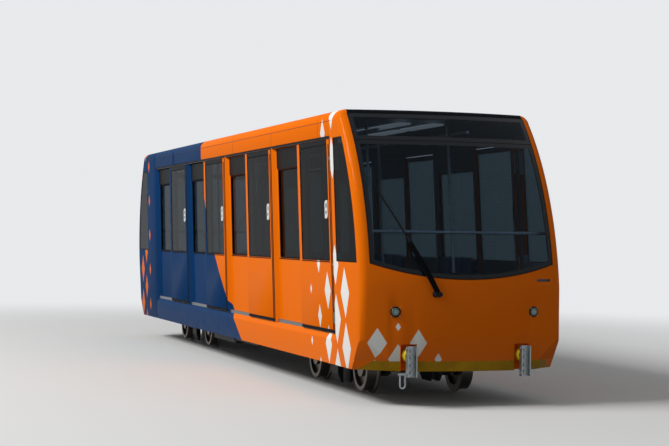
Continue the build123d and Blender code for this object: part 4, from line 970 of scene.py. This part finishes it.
for end, sign in ENDS.items():
    caps = []
    for gap in (0.0, SPINDLE_GAP):
        y, z = sign * -(SPINDLE[0] + gap), SPINDLE[1]
        at = np.array((float(face_x(end, y, z)), y, z))
        caps.append(turned(CAP, at, (sign, 0, 0)))
        caps += bolt(at + (sign * 0.052, 0, 0), (sign, 0, 0), 0.022)
    y, z = wiper_line(end, ARM, np.linspace(0, 1, len(ARM_CLEAR)))
    out = face_out(end, y, z)
    caps.append(swept(on_face(end, y, z) + ARM_CLEAR[:, None] * out, out, ARM_COVER, False))
    piece(f"wiper_caps_{end}", caps, "car_body", "frame_paint", black_plastic_and_shade)
    y, z = wiper_line(end, BLADE, np.linspace(-0.5, 1.0, 14))
    path, out = on_face(end, y, z), face_out(end, y, z)
    lip = [swept(path, out, LIP, False), swept(path, out, bead(0.006, 0.0150, 0.0205), False)]
    piece(f"wiper_lip_{end}", lip, "car_body", "seal_rubber")
print("wipers dressed", len(ENDS))

# %% Bolts of the brackets, linings of their pockets and the buffers' collars
BRACKET_REACH = 0.120
WEB_BOLT_Z, WEB_BOLT = (0.350, 0.420, 0.500, 0.568), 0.030
CHEEK_BOLT_Z, CHEEK_BOLT, CHEEK_Y = (0.332, 0.588), 0.022, 0.050
# columns: y from and to, z from and to, depth behind the face from and to
POCKET = ((-0.0845, 0.0845, 0.3620, 0.4740, 0.086, 0.090), (-0.0845, 0.0845, 0.5560, 0.6260, 0.086, 0.090),
          (-0.0845, -0.0310, 0.4745, 0.5555, 0.086, 0.090), (0.0310, 0.0845, 0.4745, 0.5555, 0.086, 0.090),
          (-0.0845, -0.0805, 0.3620, 0.6260, 0.008, 0.0855), (0.0805, 0.0845, 0.3620, 0.6260, 0.008, 0.0855),
          (-0.0800, 0.0800, 0.6220, 0.6260, 0.008, 0.0855))
COLLAR = ((0.051, 0), (0.062, 0), (0.066, 0.004), (0.066, 0.032), (0.062, 0.036), (0.051, 0.036), (0.051, 0))
for end, sign in ENDS.items():
    tip = float(face_x(end, BRACKET_Y, 0.4595)) + sign * BRACKET_REACH
    root, face = tip - sign * BRACKET_REACH / 2, tip - sign * BRACKET_REACH
    bolts, linings, collars = [], [], []
    for y in (-BRACKET_Y, BRACKET_Y):
        for z in WEB_BOLT_Z:
            bolts += bolt((root + sign * 0.012, y, z), (sign, 0, 0), WEB_BOLT)
        for z in CHEEK_BOLT_Z:
            for cheek in (-1, 1):
                bolts += bolt((root + sign * 0.034, y + cheek * CHEEK_Y, z), (0, cheek, 0), CHEEK_BOLT)
        for y0, y1, z0, z1, near, far in POCKET:
            x0, x1 = sorted((face - sign * near, face - sign * far))
            linings.append(block((x0, y + y0, z0), (x1, y + y1, z1), 0.001))
        collars.append(turned(COLLAR, (face - sign * 0.042, y, PAD_Z), (sign, 0, 0), 40))
    piece(f"bracket_bolts_{end}", bolts, "car_body", "galvanised_steel")
    piece(f"bracket_pockets_{end}", linings, "car_body", "livery_paint", tray_paint[end])
    piece(f"buffer_collars_{end}", collars, "car_body", "yellow_paint")
print("bracket bolts per end", 16)

# %% [markdown]
# ## Running gear
#
# Each bogie stands on eight coil springs beside its axle boxes. A coil is a round bar carried along a helix. Each
# axle box has a domed cover with a ring of bolts. Both ride with the bogie when it swivels.

# %% Springs and axle box covers
BOGIE_X = 3.700
HALF_BASE = 0.850
AXLE_Z = 0.278
COIL_Y, COIL_STEP, COIL_Z = 0.360, 0.150, 0.246
COIL_RADIUS, BAR_RADIUS, COIL_RISE, COIL_TURNS = 0.040, 0.0065, 0.062, 4.5
AXLE_COVER = ((0, 0), (0.075, 0), (0.077, 0.003), (0.077, 0.010), (0.060, 0.018), (0.030, 0.024), (0, 0.025))
AXLE_BOX_Y, COVER_BOLT, COVER_CIRCLE = 0.4055, 0.014, 0.066
turns = np.linspace(0, 2 * np.pi * COIL_TURNS, 73)
radial = np.stack([np.cos(turns), np.sin(turns), np.zeros(73)], -1)
helix = COIL_RADIUS * radial
helix[:, 2] = COIL_RISE * turns / turns[-1]
bar = [(BAR_RADIUS * math.cos(a), BAR_RADIUS * math.sin(a)) for a in np.linspace(0, 2 * np.pi, 7)[:-1]]
for end, sign in ENDS.items():
    coils, covers = [], []
    for x in (sign * BOGIE_X - HALF_BASE, sign * BOGIE_X + HALF_BASE):
        for outwards in (-1, 1):
            for step in (-COIL_STEP, COIL_STEP):
                coils.append(swept(helix + (x + step, outwards * COIL_Y, COIL_Z), radial, bar, False))
            outer = np.array((x, outwards * AXLE_BOX_Y, AXLE_Z + 0.010))
            covers.append(turned(AXLE_COVER, outer, (0, outwards, 0), 28))
            for k in range(6):
                angle = math.pi * k / 3
                at = outer + (COVER_CIRCLE * math.cos(angle), outwards * 0.012, COVER_CIRCLE * math.sin(angle))
                covers += bolt(at, (0, outwards, 0), COVER_BOLT)
    piece(f"bogie_coils_{end}", coils, f"bogie_{end}", "frame_paint")
    piece(f"axle_covers_{end}", covers, f"bogie_{end}", "frame_paint")
print("coils per bogie", 8)

# %% [markdown]
# ## What shows through the glass
#
# Through the tinted panes the benches, poles and ceiling are seen. The benches carry moulded shells, three to a
# bench. A shell is a surface of two numbers: one runs from the front lip over the seat and up the back, and the
# other runs across, where the surface lifts at both edges. Along the ceiling run opal covers over strip lamps.

# %% Seat shells
# columns: y and z of the shell's line in its middle, from the front lip to the top of the back
SHELL_LINE = np.array([(0.552, 1.118), (0.551, 1.148), (0.562, 1.163), (0.600, 1.168), (0.700, 1.164),
                       (0.820, 1.160), (0.880, 1.164), (0.905, 1.180), (0.916, 1.215), (0.926, 1.300),
                       (0.938, 1.400), (0.944, 1.452), (0.954, 1.464)])
SHELL_WIDE = 0.345
BENCH_LONG = 1.105
along = np.gradient(SHELL_LINE, axis=0)
inward = np.stack([-along[:, 1], along[:, 0]], -1) / np.linalg.norm(along, axis=1, keepdims=True)
across = np.linspace(-1, 1, 11)
loop = np.concatenate([across, across[::-1]])
rise = 0.014 * np.abs(loop) ** 5 + np.where(np.arange(22) < 11, 0.004, -0.001)
shell_x = np.broadcast_to(loop * SHELL_WIDE / 2, (len(SHELL_LINE), 22))
shell_y = SHELL_LINE[:, :1] + inward[:, :1] * rise
shell_z = SHELL_LINE[:, 1:] + inward[:, 1:] * rise
for side, sign in SIDES.items():
    shells = []
    for lead in LEADS:
        for k in range(3):
            middle = lean(lead - 2.220, 1.102) + BENCH_LONG * (k + 0.5) / 3
            points = np.stack([shell_x + middle, sign * shell_y, shell_z], -1).reshape(-1, 3)
            rims = [list(range(22)), list(range(len(points) - 22, len(points)))]
            shells.append((points, quads(len(SHELL_LINE), 22, False, True) + rims))
    piece(f"seat_shells_{side}", shells, "car_body", "seat_shell", sharp=60)
print("seat shells", 2 * 3 * len(LEADS))

# %% Ceiling lamps and pole sockets
CEILING_Z = 2.938
STRIP_Y, STRIP_HALF_LONG, STRIP_HALF_WIDE, STRIP_DEEP = 0.19, 0.52, 0.075, 0.022
POLE_Y = 0.480
SOCKET = ((0.0172, 0), (0.048, 0), (0.050, 0.004), (0.040, 0.010), (0.026, 0.016), (0.0215, 0.030),
          (0.0172, 0.030), (0.0172, 0))
lamps, sockets = [], []
for x in np.arange(-4.2, 4.6, 1.2):
    for sign in SIDES.values():
        lamps.append(block((x - STRIP_HALF_LONG, sign * STRIP_Y - STRIP_HALF_WIDE, CEILING_Z - STRIP_DEEP),
                           (x + STRIP_HALF_LONG, sign * STRIP_Y + STRIP_HALF_WIDE, CEILING_Z - 0.0003), 0.008))
for sign in SIDES.values():
    for lead in LEADS:
        foot = (lean(lead - 0.530, DECK_Z), sign * POLE_Y, DECK_Z + SEAT)
        sockets.append(turned(SOCKET, foot, (0, 0, 1)))
piece("ceiling_lamps", lamps, "car_body", "white_paint", opal())
piece("pole_sockets", sockets, "car_body", "rail_steel")
print("ceiling lamps", len(lamps))

# %% [markdown]
# ## Floor, light and camera
#
# The surroundings are a pale studio where they are seen, mirrored or looked through, and dimmer where they only
# light the car, so that shaded sides keep their depth. The floor does the same with its colour, and far from the
# car it turns into the colour of the background, so that no horizon shows. One wide soft light stands high beside
# the car, and the front face is lit mostly by the surroundings.

# %% Background strength
SKY = linear("#EDEFF1")
ROOM_LEVEL = 0.31
SEEN_LEVEL = 0.95


def is_seen(tree):
    """One where a surface is seen, mirrored or looked through, and zero where it only lights another."""
    rays = add(tree, "ShaderNodeLightPath").outputs
    camera, glossy, through = (Field(tree, rays[f"Is {kind} Ray"]) for kind in ("Camera", "Glossy", "Transmission"))
    return camera | glossy | through


def background_level(tree):
    """Strength of the surroundings: a pale studio where it is seen, and dimmer as light."""
    return is_seen(tree) * (SEEN_LEVEL - ROOM_LEVEL) + ROOM_LEVEL


world = bpy.data.worlds.new("studio")
bpy.context.scene.world = world
world.use_nodes = True
surroundings = world.node_tree.nodes["Background"].inputs
surroundings["Color"].default_value = SKY
feed(world.node_tree, surroundings["Strength"], background_level(world.node_tree))
print("background", SEEN_LEVEL)

# %% Floor
FLOOR_HALF = 160.0
FADE_FROM, FADE_TO = 3.0, 15.0
CAR_HALF = 5.0


def floor_finish():
    """A pale matt floor that fades into the background with the distance from the car's middle line."""
    material, tree, shader, place = start_material("studio_floor", Roughness=0.9)
    x, y, z = xyz(tree, place)
    far = distance(abs(x) - CAR_HALF | 0.0, y)
    glow = add(tree, "ShaderNodeEmission", Color=SKY, Strength=background_level(tree))
    both = add(tree, "ShaderNodeMixShader", i0=stretched(far, FADE_FROM, FADE_TO, "SMOOTHSTEP"),
               i1=shader.outputs[0], i2=glow.outputs[0])
    feed(tree, tree.nodes["Material Output"].inputs["Surface"], both.outputs[0])
    paint_with(shader, tree, mixed(is_seen(tree), linear("#7C7C7B"), linear("#DADAD8")))
    return material


corners = [(x * FLOOR_HALF, y * FLOOR_HALF, 0) for x, y in ((-1, -1), (1, -1), (1, 1), (-1, 1))]
mesh = bpy.data.meshes.new("studio_floor")
mesh.from_pydata(corners, [], [(0, 1, 2, 3)])
mesh.materials.append(floor_finish())
ground = placed("studio_floor", mesh)
print("floor from", corners[0], "to", corners[2])

# %% Light


def soft_light(name, place, target, size, power):
    """A rectangular area light that looks at its target."""
    lamp = bpy.data.lights.new(name, "AREA")
    lamp.shape = "RECTANGLE"
    lamp.size, lamp.size_y = size
    lamp.energy = power
    turned_to = (Vector(target) - Vector(place)).to_track_quat("-Z", "Y").to_matrix().to_4x4()
    placed(name, lamp).matrix_world = Matrix.Translation(place) @ turned_to
    return lamp


key = soft_light("key", (2.0, -26.0, 24.0), (0.0, 0.0, 1.4), (18.0, 11.0), 11300)
print("light", key.name, key.energy, "W")

# %% [markdown]
# ## The camera
#
# The camera stands low, ahead of the car and to its right, with a long lens. Its place and turn come from a fit
# to straight edges and mirrored pairs of the car. The three angles are written as measured, and the matrix is
# built from them: first the viewing direction, then the picture's right and up vectors, turned by the roll.

# %% Camera
CAMERA_AT = Vector((21.568, -6.182, 1.692))
YAW, PITCH, ROLL = (math.radians(angle) for angle in (17.179, 0.470, 0.721))
FOCAL_PIXELS = 1649.3
FRAME_PIXELS = 669
SENSOR_MM = 36.0
forward = Vector((-math.cos(YAW) * math.cos(PITCH), math.sin(YAW) * math.cos(PITCH), math.sin(PITCH)))
level_right = forward.cross(Vector((0, 0, 1))).normalized()
level_up = level_right.cross(forward)
right = math.cos(ROLL) * level_right + math.sin(ROLL) * level_up
up = -math.sin(ROLL) * level_right + math.cos(ROLL) * level_up
lens_data = bpy.data.cameras.new("camera")
lens_data.sensor_width = SENSOR_MM
lens_data.sensor_fit = "HORIZONTAL"
lens_data.lens = FOCAL_PIXELS / FRAME_PIXELS * SENSOR_MM
lens_data.clip_end = 500
camera = placed("camera", lens_data)
camera.matrix_world = Matrix.Translation(CAMERA_AT) @ Matrix((right, up, -forward)).transposed().to_4x4()
bpy.context.scene.camera = camera
bpy.context.scene.view_settings.view_transform = "Standard"
print("lens", round(lens_data.lens, 2), "mm")
